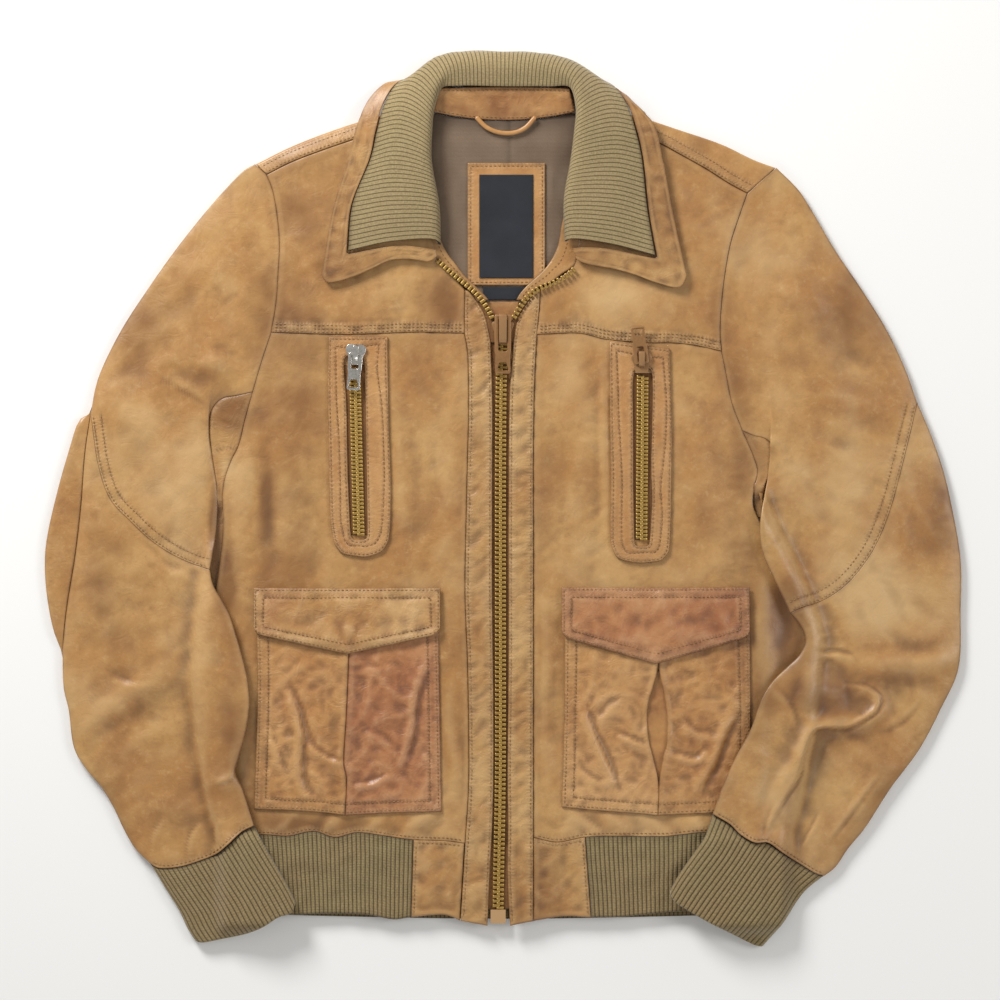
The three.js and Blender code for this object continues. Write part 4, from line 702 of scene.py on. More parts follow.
def newMaterial(name):
    material = bpy.data.materials.new(name)
    material.use_nodes = True
    tree = material.node_tree
    tree.nodes.clear()
    shader = addNode(tree, "ShaderNodeBsdfPrincipled")
    addNode(tree, "ShaderNodeOutputMaterial", links={"Surface": shader.outputs["BSDF"]})
    place = addNode(tree, "ShaderNodeTexCoord").outputs["Object"]
    return material, tree, shader, place


def mark(tree, name):
    return addNode(tree, "ShaderNodeAttribute", {"attribute_name": name}).outputs["Fac"]


def mixed(tree, amount, first, second):
    node = addNode(tree, "ShaderNodeMix", {"data_type": "RGBA"})
    for key, value in ((0, amount), (6, first), (7, second)):
        if isinstance(value, bpy.types.NodeSocket):
            tree.links.new(value, node.inputs[key])
        else:
            node.inputs[key].default_value = value
    return node.outputs[2]


def ramp(tree, source, low, high, toLow=0.0, toHigh=1.0):
    return addNode(tree, "ShaderNodeMapRange", {1: low, 2: high, 3: toLow, 4: toHigh},
                   {0: source}).outputs[0]


def maths(tree, what, *values):
    node = addNode(tree, "ShaderNodeMath", {"operation": what})
    for k, value in enumerate(values):
        if isinstance(value, bpy.types.NodeSocket):
            tree.links.new(value, node.inputs[k])
        else:
            node.inputs[k].default_value = value
    return node.outputs[0]


def cloud(tree, place, size, detail, **more):  # noise whose patches are this many mm
    return addNode(tree, "ShaderNodeTexNoise", {"Scale": 1000 / size, "Detail": detail, **more},
                   {"Vector": place}).outputs["Fac"]


def tinted(tree, colour, source, low, high, most, code):  # more of a tint as the source rises
    return mixed(tree, ramp(tree, source, low, high, 0, most), colour, linear(code))


def bumped(tree, height, strength, distance, before=None, **more):
    links = {"Height": height} if before is None else {"Height": height, "Normal": before}
    return addNode(tree, "ShaderNodeBump", {"Strength": strength, "Distance": distance, **more},
                   links).outputs["Normal"]


def wire(tree, shader, links, values):
    for key, source in links.items():
        tree.links.new(source, shader.inputs[key])
    for key, value in values.items():
        shader.inputs[key].default_value = value


# Vegetable-tanned sheep nappa, drum dyed, washed and waxed: a mottled, slightly glossy hide that is
# paler where rubbed, with a painted highlight on its crests, and darker along the seams, with painted
# shade in its hollows.
def waxedLeather(name, look):
    material, tree, shader, place = newMaterial(name)
    mottle = [cloud(tree, place, look[key], detail, Roughness=0.55)
              for key, detail in (("blotchSize", 3), ("mottleSize", 4))]
    # fine freckles of dye, down to 2 mm
    freckle = cloud(tree, place, 6, 5, Roughness=0.7)
    tone = mark(tree, "tone")
    colour = linear(look["base"])
    # the wear mark carries rubbed edges and a painted highlight on crests, both in the rubbed colour
    for source, low, high, most, key in (
            (mottle[0], 0.38, 0.64, 1, "golden"), (mottle[1], 0.50, 0.74, 0.32, "brown"),
            (freckle, 0.52, 0.74, 0.30, "brown"), (freckle, 0.46, 0.26, 0.38, "pale"),
            (tone, 0.05, 0.8, 0.75, "pale"), (tone, -0.05, -0.75, 0.85, "brown"),
            (mark(tree, "wear_and_highlight"), 0, 1, 0.6, "rubbed")):
        colour = tinted(tree, colour, source, low, high, most, look[key])
    # the hide is drawn together at every stitch: small ridges across the seams, 3 mm apart, their tops
    # painted paler as highlight and the dips between them painted darker as shade
    turns = maths(tree, "ADD", maths(tree, "MULTIPLY", mark(tree, "along"), 2 * math.pi / 3.0),
                  maths(tree, "MULTIPLY", freckle, 12))
    crimp = maths(tree, "MULTIPLY", mark(tree, "across"), maths(tree, "SINE", turns))
    colour = tinted(tree, colour, crimp, 0.1, 0.9, 0.16, look["rubbed"])
    dirt_and_shade = maths(tree, "ADD", mark(tree, "dirt_and_shade"), ramp(tree, crimp, -0.1, -0.9, 0, 0.10))
    # the grime colour paints the dirt and the painted shade of the soil mark
    colour = tinted(tree, colour, dirt_and_shade, 0, 1, 0.8, look["grimeAndShade"])
    # grain cells of 1 mm would not show at this size, so they are drawn 1.7 mm wide
    grain = addNode(tree, "ShaderNodeTexVoronoi", {"Scale": 1000 / 1.7, "feature": "DISTANCE_TO_EDGE"},
                    {"Vector": place}).outputs["Distance"]
    cracks = cloud(tree, place, 15, 5, Roughness=0.6, Distortion=0.9)
    ridge = maths(tree, "ABSOLUTE", maths(tree, "SUBTRACT", cracks, 0.5))
    creased = maths(tree, "MULTIPLY", ridge, maths(tree, "ADD", mark(tree, "crumple"), 0.12))
    normal = bumped(tree, grain, 0.12, 0.0002)
    normal = bumped(tree, creased, 0.45, 0.004, normal, invert=True)
    normal = bumped(tree, crimp, 0.3, 0.0005, normal)
    gloss = ramp(tree, mottle[1], 0.3, 0.7, *look["gloss"])
    gloss = maths(tree, "ADD", gloss, maths(tree, "MULTIPLY", dirt_and_shade, 0.16))
    wire(tree, shader, {"Base Color": colour, "Roughness": gloss, "Normal": normal},
         {"IOR": 1.48, "Coat Weight": look["wax"], "Coat Roughness": 0.3, "Sheen Weight": 0.06})
    return material


tanLeather = waxedLeather("waxed_leather_tan", {
    "base": "#AC7B45", "golden": "#BC9057", "brown": "#7D522A", "pale": "#CFAB77",
    "rubbed": "#D2AC76", "grimeAndShade": "#4E2E15", "blotchSize": 70, "mottleSize": 20,
    "gloss": (0.36, 0.54), "wax": 0.25})
weltLeather = waxedLeather("waxed_leather_warm_tan", {
    "base": "#AE7843", "golden": "#BA8850", "brown": "#80502B", "pale": "#CDA06A",
    "rubbed": "#D4A972", "grimeAndShade": "#4F2E15", "blotchSize": 50, "mottleSize": 14,
    "gloss": (0.36, 0.54), "wax": 0.25})
russetLeather = waxedLeather("waxed_leather_russet", {
    "base": "#A56A43", "golden": "#B1784B", "brown": "#7E4829", "pale": "#CA9867",
    "rubbed": "#D6A97C", "grimeAndShade": "#4C2814", "blotchSize": 42, "mottleSize": 13,
    "gloss": (0.32, 0.50), "wax": 0.22})


# Rib knit of a wool and acrylic yarn, worn: soft matt loops, with painted shade between the ribs.
def ribKnit(name, look):
    material, tree, shader, place = newMaterial(name)
    fuzz, blotch = cloud(tree, place, 1.3, 3), cloud(tree, place, 45, 3)
    # V-shaped loops: a wave along the rib, its phase pushed by the distance from the rib's middle
    slant = maths(tree, "MULTIPLY", maths(tree, "ABSOLUTE", mark(tree, "across")), 2.4)
    turns = maths(tree, "MULTIPLY", mark(tree, "along"), 2 * math.pi / look["loop"])
    loops = maths(tree, "SINE", maths(tree, "ADD", turns, slant))
    colour = tinted(tree, linear(look["base"]), blotch, 0.35, 0.65, 1, look["olive"])
    colour = tinted(tree, colour, fuzz, 0.35, 0.75, 0.55, look["light"])
    colour = mixed(tree, ramp(tree, loops, -1, 0.2, 0.5 * look["loopHigh"], 0), colour,
                   linear(look["shade"]))
    colour = tinted(tree, colour, mark(tree, "dirt_and_shade"), 0, 1, 0.95, look["valley"])
    height = maths(tree, "ADD", maths(tree, "MULTIPLY", loops, look["loopHigh"]),
                   maths(tree, "MULTIPLY", fuzz, 0.8))
    wire(tree, shader, {"Base Color": colour, "Normal": bumped(tree, height, 0.6, 0.0004)},
         {"Roughness": 0.92, "Specular IOR Level": 0.25, "Sheen Weight": 0.35,
          "Sheen Roughness": 0.5})
    return material


# the valley colours are painted shade between the ribs
hemKnit = ribKnit("rib_knit_wool_khaki", {"base": "#87714B", "olive": "#84734C",
                                          "light": "#AF9C76", "shade": "#5F4E2E",
                                          "valley": "#241A0D", "loop": 2.1, "loopHigh": 0.3})
collarKnit = ribKnit("rib_knit_wool_collar", {"base": "#94805A", "olive": "#8C7A55",
                                              "light": "#BCA97E", "shade": "#705D38",
                                              "valley": "#2C1F0E", "loop": 2.0,
                                              "loopHigh": 0.08})


# Threads crossing at right angles: lining twill, zip tape and the woven label.
def wovenCloth(name, look):
    material, tree, shader, place = newMaterial(name)
    split = addNode(tree, "ShaderNodeSeparateXYZ", links={0: place})
    turns = 2 * math.pi * 1000 / look["thread"]
    shifted = maths(tree, "MULTIPLY", split.outputs[1], look["slope"])
    one = maths(tree, "MULTIPLY", maths(tree, "ADD", split.outputs[0], shifted), turns)
    two = maths(tree, "SINE", maths(tree, "MULTIPLY", split.outputs[1], turns))
    weave = maths(tree, "ADD", maths(tree, "SINE", one), maths(tree, "MULTIPLY", two, 0.5))
    colour = tinted(tree, linear(look["dark"]), weave, -1.2, 1.2, 1, look["light"])
    colour = tinted(tree, colour, cloud(tree, place, 30, 4), 0.4, 0.7, 0.45, look["faded"])
    colour = tinted(tree, colour, mark(tree, "dirt_and_shade"), 0, 1, 0.8, look["grimeAndShade"])
    wire(tree, shader, {"Base Color": colour, "Normal": bumped(tree, weave, 0.5, 0.00025)},
         {"Roughness": look["rough"], "Specular IOR Level": look["shine"],
          "Sheen Weight": look["sheen"]})
    return material


# threads of 0.3 mm are drawn 0.9 mm apart so that the weave shows
liningTwill = wovenCloth("lining_twill_viscose", {"thread": 1.1, "slope": 1.0, "dark": "#6C5744",
                                                  "light": "#826B55", "faded": "#8F7A64",
                                                  "grimeAndShade": "#3E3023", "rough": 0.62,
                                                  "shine": 0.4, "sheen": 0.3})
zipTape = wovenCloth("zip_tape_polyester", {"thread": 1.2, "slope": 0.0, "dark": "#6C4726",
                                            "light": "#875E37", "faded": "#94693D",
                                            "grimeAndShade": "#4A3019", "rough": 0.85,
                                            "shine": 0.3, "sheen": 0.2})
labelWeave = wovenCloth("label_damask_weave", {"thread": 0.9, "slope": 0.0, "dark": "#14161C",
                                               "light": "#22252E", "faded": "#2A2D36",
                                               "grimeAndShade": "#0B0C10", "rough": 0.7,
                                               "shine": 0.4, "sheen": 0.15})


# Metals: cast, plated or painted, then rubbed by hands.
def wornMetal(name, look):
    material, tree, shader, place = newMaterial(name)
    scratch = cloud(tree, place, look["grit"], 6, Roughness=0.7)
    edge = addNode(tree, "ShaderNodeNewGeometry").outputs["Pointiness"]
    rubbed = maths(tree, "ADD", edge, maths(tree, "MULTIPLY", scratch, 0.08))
    colour = tinted(tree, linear(look["base"]), scratch, 0.4, 0.7, 1, look["dull"])
    colour = tinted(tree, colour, rubbed, look["rubFrom"], look["rubTo"], 1, look["bare"])
    wire(tree, shader, {"Base Color": colour, "Normal": bumped(tree, scratch, 0.15, 0.0001),
                        "Roughness": ramp(tree, scratch, 0.3, 0.75, *look["rough"])},
         {"Metallic": look["metal"]})
    return material


brassTeeth = wornMetal("zip_teeth_antique_brass", {"base": "#A98441", "dull": "#7A5A2B",
                                                   "bare": "#C9A85F", "grit": 1.2, "metal": 0.75,
                                                   "rough": (0.34, 0.56), "rubFrom": 0.54,
                                                   "rubTo": 0.64})
paintedZinc = wornMetal("zinc_die_cast_brown_enamel", {"base": "#9B7045", "dull": "#7F5935",
                                                       "bare": "#C59E70", "grit": 2.0,
                                                       "metal": 0.3, "rough": (0.34, 0.52),
                                                       "rubFrom": 0.56, "rubTo": 0.66})
nickelZinc = wornMetal("zinc_die_cast_nickel_plate", {"base": "#EFECE6", "dull": "#A8A196",
                                                      "bare": "#FAF9F6", "grit": 1.5,
                                                      "metal": 1.0, "rough": (0.16, 0.34),
                                                      "rubFrom": 0.56, "rubTo": 0.7})


# Bonded polyester thread, waxed: dull, a little darker than the hide from handling.
def sewingThread(name, look):
    material, tree, shader, place = newMaterial(name)
    colour = mixed(tree, cloud(tree, place, 0.8, 2), linear(look["dark"]), linear(look["light"]))
    colour = tinted(tree, colour, cloud(tree, place, 40, 2), 0.4, 0.65, 0.5, look["faded"])
    wire(tree, shader, {"Base Color": colour}, {"Roughness": 0.7})
    return material


thread = sewingThread("thread_bonded_polyester", {"dark": "#6F4A27", "light": "#A27A48",
                                                  "faded": "#B89060"})
print("materials ready:", len(bpy.data.materials))


# Stitching: each stitch is a short rounded bar that sinks into the hide at both ends
stitch = {"length": 2.5, "pitch": 3.6, "thick": 0.42, "bow": 0.12, "sunk": 0.35, "corners": 14}
threadBars = {"points": [], "quads": []}


def stitchLine(line, heightOf=None, lift=0.10):
    line = np.asarray(line, float)
    total = lengths(line)[-1]
    count = max(1, int(total / stitch["pitch"]))
    starts = (np.arange(count) + 0.5) * total / count
    a, b = [at(line, (starts + way * stitch["length"] / 2) / total) for way in (-1, 1)]
    m = at(line, starts / total)
    wobble = noise(m[:, 0], m[:, 1], 11, 50)[:, None] * 0.18
    if heightOf is not None:
        for p in (a, b, m):
            p[:, 2] = heightOf(p[:, 0], p[:, 1])
    way = (b - a) / np.maximum(np.linalg.norm(b - a, axis=1, keepdims=True), 1e-6)
    side = np.cross(way, [0, 0, 1.0])
    side /= np.maximum(np.linalg.norm(side, axis=1, keepdims=True), 1e-6)
    rise = np.cross(side, way)
    for p in (a, b, m):
        p += side * wobble
    sections = []
    for t in (0.14, 0.5, 0.86):
        centre = a + (b - a) * t + rise * (lift + (stitch["bow"] if t == 0.5 else 0.0))
        r = stitch["thick"] * (1.0 if t == 0.5 else 0.8)
        sections.append(np.stack([centre + side * r, centre + rise * r * 0.8, centre - side * r,
                                  centre - rise * r], 1))
    tips = [a - rise * stitch["sunk"], b - rise * stitch["sunk"]]
    base = sum(len(p) for p in threadBars["points"])
    n = len(a)
    points = np.concatenate([tips[0][:, None], *sections, tips[1][:, None]], 1)
    threadBars["points"].append(points.reshape(-1, 3))
    quads = []
    for ring in (0, 1):
        for k in range(4):
            p, q = 1 + ring * 4 + k, 1 + ring * 4 + (k + 1) % 4
            quads.append([p, p + 4, q + 4, q])
    for k in range(4):
        quads.append([0, 1 + k, 1 + (k + 1) % 4, 1 + (k + 1) % 4])
        quads.append([13, 9 + (k + 1) % 4, 9 + k, 9 + k])
    quads = np.array(quads)[None] + (base + stitch["corners"] * np.arange(n))[:, None, None]
    threadBars["quads"].append(quads.reshape(-1, 4))


def stitchLines(rows, heightOf=None, lift=0.10):
    for row in rows:
        stitchLine(row, heightOf, lift=lift)


def trimmed(line, first, last):  # mm taken off both ends
    total = lengths(line)[-1]
    return at(line, np.linspace(first / total, 1 - last / total, max(12, int(total / 4))))


# Fronts below the yoke
front = {"puff": 0.10, "edge": 0.5, "dent": 0.4, "pucker": 0.35, "puckerSize": 9, "grain": 0.22,
         "crumple": 0.32, "tone": 0.0}
seamL, seamR = curve(yokeSeamL), curve(yokeSeamR)
hemL, hemR = curve(hemSeamL), curve(hemSeamR)
edgeL = curve([p for p in placketOutLowL if p[1] >= -293])
edgeR = curve([p for p in placketOutLowR if p[1] >= -288])
footL, footR = join(curve(armLowL), curve(armMidL)), join(curve(armLowR), curve(armMidR))
sideL, sideR = join(curve(sideLowL), footL), join(curve(sideLowR), footR)
frontGridL = coons(hemL, seamL, sideL, edgeL, jacket["step"])
frontGridR = coons(hemR, seamR, edgeR, sideR, jacket["step"])
hemStitch = [trimmed(sideways(n, 2.6), 3, 3) for n in (hemL, hemR)]
panel("front_lower_left", frontGridL, bodyTop, tanLeather, front, [hemStitch[0]])
panel("front_lower_right", frontGridR, bodyTop, tanLeather, front, [hemStitch[1]])

# Yokes: their lower edge is a turned band with three rows of stitching
yoke = {"puff": 0.3, "edge": 0.6, "dent": 0.5, "pucker": 0.35, "puckerSize": 8, "grain": 0.22,
        "depth": 2.9, "crumple": 0.32, "bandRows": (1.8, 4.6, 7.4)}
yokeInL = join(curve(placketOutHighL), curve(neckEdgeL))
yokeInR = join(curve(placketOutHighR), curve(neckEdgeR))
shoulderL, shoulderR = curve(shoulderSeamL), curve(shoulderSeamR)
yokeGridL = coons(seamL, shoulderL, curve(armHighL), yokeInL, jacket["step"])
yokeGridR = coons(seamR, shoulderR[::-1], yokeInR, curve(armHighR), jacket["step"])
bandLines = [[trimmed(sideways(seam, d), 2, 2) for d in yoke["bandRows"]] for seam in (seamL, seamR)]


def yokeTop(seam):
    def height(x, y):
        d, _ = nearLine(x, y, seam, 30)
        band = ease((10.5 - d) / 3)
        return bodyTop(x, y) + 0.4 + 0.5 * band - 0.25 * bell(d - 10.6, 1.6)
    return height


for side, grid, seam, rows in (("left", yokeGridL, seamL, bandLines[0]),
                               ("right", yokeGridR, seamR, bandLines[1])):
    panel("front_yoke_" + side, grid, yokeTop(seam), tanLeather, yoke, rows)
    stitchLines(rows, yokeTop(seam))
stitchLines(hemStitch, bodyTop)
print("fronts and yokes")

# Plackets beside the zip, puckered between their two rows of stitching
placket = {"gap": 0.1, "puff": 0.4, "edge": 0.8, "dent": 0.55, "pucker": 0.6, "puckerSize": 6,
           "grain": 0.25, "depth": 2.8, "crumple": 0.9, "rows": (2.4, 2.2), "tone": 0.22}
placketOutL = join(curve(placketOutLowL), curve(placketOutHighL))
placketInL = join(curve(placketInLowL), curve(placketInHighL))
placketOutR = join(curve(placketOutLowR), curve(placketOutHighR))
placketInR = join(curve(placketInLowR), curve(placketInHighR))


def placketTop(x, y):
    return bodyTop(x, y) + 1.2 + 0.6 * creases(x, y, 10, 71, 0.5, 1.9)


def addPlacket(name, outer, inner, turn):
    rows = [trimmed(sideways(outer, -turn * placket["rows"][0]), 4, 3),
            trimmed(sideways(inner, turn * placket["rows"][1]), 4, 3)]
    left, right = (outer, inner) if turn > 0 else (inner, outer)
    grid = between(left, right, jacket["fineStep"])
    panel(name, grid, placketTop, tanLeather, placket, rows)
    stitchLines(rows, placketTop)


addPlacket("placket_left", placketOutL, placketInL, 1)
addPlacket("placket_right", placketOutR, placketInR, -1)


# Rib knit: the ribs run along the grid's rows or columns; each is a round ridge over its panel
def ribShape(place):  # place counts ribs: height 0 to 1, and the offset from the rib's middle
    offset = (place % 1) - 0.5
    return np.sqrt(np.maximum(0, 1 - (2.05 * offset) ** 2)), offset


hemKnitLook = {"wide": 150, "height": 0.95, "perRib": 7, "rows": 24}
valleyBelow = 0.84  # share of a rib's height under which it is painted darker, as shade


def knitValues(place, along, gap):
    ridge, offset = ribShape(place)
    # painted shade in the valleys between the ribs, and darker along the rims
    valley = np.clip(1 - ridge / valleyBelow, 0, 1)
    dirt_and_shade = np.maximum(valley, 0.55 * bell(gap, 1.5))
    return ridge, dict(plainMarks, dirt_and_shade=np.clip(dirt_and_shade, 0, 1), across=offset, along=along)


def hemEdge(line, start, end, count):  # the stretch of a line between two x
    x = start + (end - start) * np.linspace(0, 1, count)
    p = np.array(line)
    return raised(x, np.interp(x, p[:, 0], p[:, 1]), 0 * x)


def hemRib(name, topLine, footLine, first, last):
    # first and last are the x of foot and top at the two ends
    ribs = round(hemKnitLook["wide"] / jacket["ribPitch"])
    columns = ribs * hemKnitLook["perRib"] + 1
    foot, top = [hemEdge(n, first[k], last[k], columns) for k, n in enumerate((footLine, topLine))]
    vs = spread(jacket["hemHeight"], jacket["hemHeight"] / hemKnitLook["rows"])[:, None, None]
    grid = foot[None] * (1 - vs) + top[None] * vs
    grid[..., 0] += 0.5 * noise(grid[..., 0], grid[..., 1], 40, 60) * np.sin(np.pi * vs[..., 0])
    grid = drawIn(grid, 0.2)
    x, y = grid[..., 0], grid[..., 1]
    gap = rimDistance(grid)
    place = np.broadcast_to(np.linspace(0, 1, columns) * ribs, x.shape)
    along = np.broadcast_to(vs[..., 0] * jacket["hemHeight"], x.shape)
    ridge, values = knitValues(place, along, gap)
    base = bodyTop(x, y) + 0.1 - 0.5 * bell(y + 292, 5)
    z = base + hemKnitLook["height"] * ridge - turnedEdge(gap, 1.3)
    topGrid = raised(x, y, z)
    under = raised(x, y, np.minimum(base - jacket["wall"], z - 0.2))
    return shell(name, topGrid, under, hemKnit, values)


footRunL, footRunR = curve(hemBotL), curve(hemBotR)
hemRib("hem_rib_left", hemL, footRunL, (-224, -231), (-79, -77))
hemRib("hem_rib_right", hemR, footRunR, (74, 69), (224, 231))

# Leather blocks that close the hem at the zip
hemBlock = {"puff": 0.3, "edge": 1.2, "dent": 0.4, "pucker": 0.4, "puckerSize": 8, "grain": 0.3,
            "crumple": 0.8, "tone": -0.05}


def blockTop(x, y):
    return bodyTop(x, y) + 0.9 + 0.5 * creases(x, y, 16, 70, 1.2, 1.6) * ease((y + 352) / 10)


def hemBlockPiece(name, topLine, footLine, first, last):
    foot, top = [hemEdge(n, first[k], last[k], 30) for k, n in enumerate((footLine, topLine))]
    sides = [np.array([foot[k], top[k]]) for k in (0, -1)]
    grid = coons(foot, top, sides[0], sides[1], jacket["fineStep"])
    lines = [trimmed(sideways(top, -2.4), 3, 3)]
    outward = 0 if abs(first[0]) > abs(last[0]) else 1
    lines.append(trimmed(sideways(sides[outward], -2.4 if outward == 0 else 2.4), 3, 5))
    panel(name, grid, blockTop, tanLeather, hemBlock, lines)
    stitchLines(lines, blockTop)


hemBlockPiece("hem_block_left", hemL, footRunL, (-79, -77), (-37.6, -33.6))
hemBlockPiece("hem_block_right", hemR, footRunR, (25, 25.2), (74, 69))
print("plackets, hem and blocks")

# Pockets: two halves meet at the centre pleat; their big creases stand where the photo has them
pocket = {"puff": 0.35, "edge": 1.2, "dent": 0.42, "pucker": 0.30, "puckerSize": 6, "grain": 0.3,
          "depth": 2.0, "crumple": 1.0, "rows": (2.6, 9.6), "rise": 2.4}
pocketCreases = {
    "left": [
        ([[-188, -160], [-180, -176], [-175, -201], [-176, -221], [-173, -247], [-163, -258]], 2.3, 8),
        ([[-182, -170], [-170, -205], [-158, -222]], 1.6, 7),
        ([[-162, -215], [-150, -222], [-137, -227]], 1.7, 5),
        ([[-64, -131], [-76, -166], [-81, -204], [-90, -231]], 2.2, 7),
        ([[-131, -245], [-112, -243], [-96, -235]], 1.5, 5),
        ([[-120, -200], [-106, -205], [-92, -222]], 0.9, 7),
        ([[-125, -150], [-112, -146], [-100, -160]], 0.8, 7),
        ([[-70, -216], [-64, -222], [-58, -236]], 1.0, 5),
        ([[-205, -190], [-196, -215], [-188, -238]], 0.9, 6),
    ],
    "right": [
        ([[66, -178], [74, -202], [83, -221], [94, -251]], 2.4, 8),
        ([[94, -201], [108, -207], [121, -213]], 1.7, 6),
        ([[197, -178], [185, -201], [175, -227], [161, -251]], 2.3, 8),
        ([[140, -218], [165, -223], [173, -214]], 1.9, 6),
        ([[60, -230], [74, -240], [96, -244]], 0.9, 6),
        ([[150, -190], [160, -200], [176, -204]], 1.2, 7),
        ([[186, -230], [194, -240], [200, -252]], 1.0, 6),
        ([[84, -190], [92, -178], [104, -172]], 0.9, 7),
    ],
}
pleatBlend = {"left": (pleatL, 1.6, 7), "right": (pleatR, 1.6, 9)}


def pocketTop(side):
    line, high, wide = pleatBlend[side]
    mouth = curve(line)

    def height(x, y):
        d, _ = nearLine(x, y, mouth, 60)
        z = bodyTop(x, y) + pocket["rise"] + high * bell(d, wide)
        free = ease((-118 - y) / 26) * ease((np.abs(x) - 56) / 10) * ease((207 - np.abs(x)) / 9)
        free = free * ease((y + 264) / 10)
        for crease, tall, broad in pocketCreases[side]:
            z = z + crest(x, y, crease, 1.25 * tall, broad, 0.5) * free
        crumpled = 0.85 * creases(x, y, 21, 80, 0.9, 1.5) + 0.45 * creases(x, y, 10, 81, -0.5, 1.3)
        return z + crumpled * free * jacket["crease"]
    return height


def addPocket(name, foot, left, right, side, look, tone):
    left, right, foot = curve(left), curve(right), curve(foot)
    top = np.array([left[-1], right[-1]])
    grid = coons(foot, top, left, right, jacket["fineStep"])
    outer = left if "outer" in name and side == "left" or name == "pocket_right_inner" else right
    turn = -1 if outer is left else 1
    rows = []
    for d in pocket["rows"]:
        rows.append(trimmed(sideways(outer, turn * d), d, 1))
        rows.append(trimmed(sideways(foot, d), d if outer is left else 0,
                            d if outer is right else 0))
    style = dict(pocket, tone=tone)
    height = pocketTop(side)
    panel(name, grid, height, look, style, rows)
    stitchLines(rows, height, 0.2)


addPocket("pocket_left_outer", pocketFootL, pocketOutL, pleatL, "left", weltLeather, 0.0)
addPocket("pocket_left_inner", pocketFootMidL, pleatL, pocketInL, "left", russetLeather, 0.0)
addPocket("pocket_right_inner", pocketFootMidR, pocketInR, pleatLipsR[0], "right", weltLeather,
          0.25)
addPocket("pocket_right_outer", pocketFootR, pleatLipsR[1], pocketOutR, "right", weltLeather,
          0.0)


def pleatFloor(x, y):
    return bodyTop(x, y) + 1.0 + 0.25 * creases(x, y, 12, 82)


panel("pocket_right_pleat", rectangle(118, -240, 143, -146), pleatFloor, weltLeather,
      {"depth": 0.5, "tone": -0.35, "edge": 0.3}, nodes=[])

# Flaps: pointed, bound edge with two rows of stitching, a snap pressed up through the left one
flap = {"puff": 0.45, "edge": 1.3, "dent": 0.45, "pucker": 0.3, "puckerSize": 6, "grain": 0.3,
        "depth": 2.3, "crumple": 0.9, "rows": (1.9, 8.2), "snapAt": (-132, -113), "snapWide": 6.5}


def flapTop(side):
    under = pocketTop(side)

    def height(x, y):
        z = torsoTop(x, y) + 4.9 + 1.4 * ease((y + 100) / -20) + bodyRelief(x, y)
        z = np.maximum(z, under(x, y) + 2.6)
        wave = 0.7 * creases(x, y, 24, 90, 1.5, 1.8) + 0.4 * noise(x, y, 12, 91)
        z = z + (wave + 0.4) * ease((y + 128) / 8) * ease((-78 - y) / 8)
        if side == "left":
            d = np.hypot(x - flap["snapAt"][0], y - flap["snapAt"][1])
            z = z + 0.9 * ease((flap["snapWide"] - d) / 5) - 0.35 * bell(d - 7.6, 1.5)
        return z
    return height


def addFlap(name, side, x0, x1, top, shoulder, tip, look):
    mid = (x0 + x1) / 2
    foot = np.array([[x0, shoulder + 5, 0], [x0 + 1.2, shoulder + 1.6, 0],
                     [x0 + 3.6, shoulder - 0.8, 0], [x0 + 9, shoulder - 2.6, 0],
                     [mid - 5, tip + 1.1, 0], [mid, tip, 0], [mid + 5, tip + 1.1, 0],
                     [x1 - 9, shoulder - 2.6, 0], [x1 - 3.6, shoulder - 0.8, 0],
                     [x1 - 1.2, shoulder + 1.6, 0], [x1, shoulder + 5, 0]])
    head = np.array([[x0, top, 0], [mid, top - 0.5, 0], [x1, top, 0]])
    left = np.array([foot[0], head[0]])
    right = np.array([foot[-1], head[-1]])
    grid = coons(foot, head, left, right, jacket["fineStep"])
    height = flapTop(side)
    rows = []
    for d in flap["rows"]:
        rows.append(np.array([[x0 + d, top - d, 0], [x0 + d, shoulder + 0.7 * d, 0],
                              [mid, tip + d * 1.05, 0], [x1 - d, shoulder + 0.7 * d, 0],
                              [x1 - d, top - d, 0]]))
        if d < 4:
            rows.append(np.array([[x0 + d, top - 2, 0], [x1 - d, top - 2, 0]]))
        else:
            rows.append(np.array([[x0 + d, top - d, 0], [x1 - d, top - d, 0]]))
    rows = [at(row, np.linspace(0, 1, 80)) for row in rows]
    panel(name, grid, height, look, flap, rows)
    stitchLines(rows, height, 0.2)


flapLeather = waxedLeather("waxed_leather_flap", {
    "base": "#AF7F48", "golden": "#BD8F59", "brown": "#9A6340", "pale": "#D6B480",
    "rubbed": "#DBB580", "grimeAndShade": "#573218", "blotchSize": 34, "mottleSize": 12,
    "gloss": (0.38, 0.54), "wax": 0.14})
addFlap("pocket_flap_left", "left", -213, -54, -75.5, -114, -132, flapLeather)
addFlap("pocket_flap_right", "right", 49, 209, -75, -117, -140, russetLeather)
print("pockets and flaps")

# Chest welts: a frame of leather round the slot, three rows of stitching
welt = {"wide": 22, "puff": 0.25, "edge": 1.0, "rise": 2.9, "depth": 2.4, "rows": (2.2, 9.4),
        "inner": 2.0, "columns": 16}


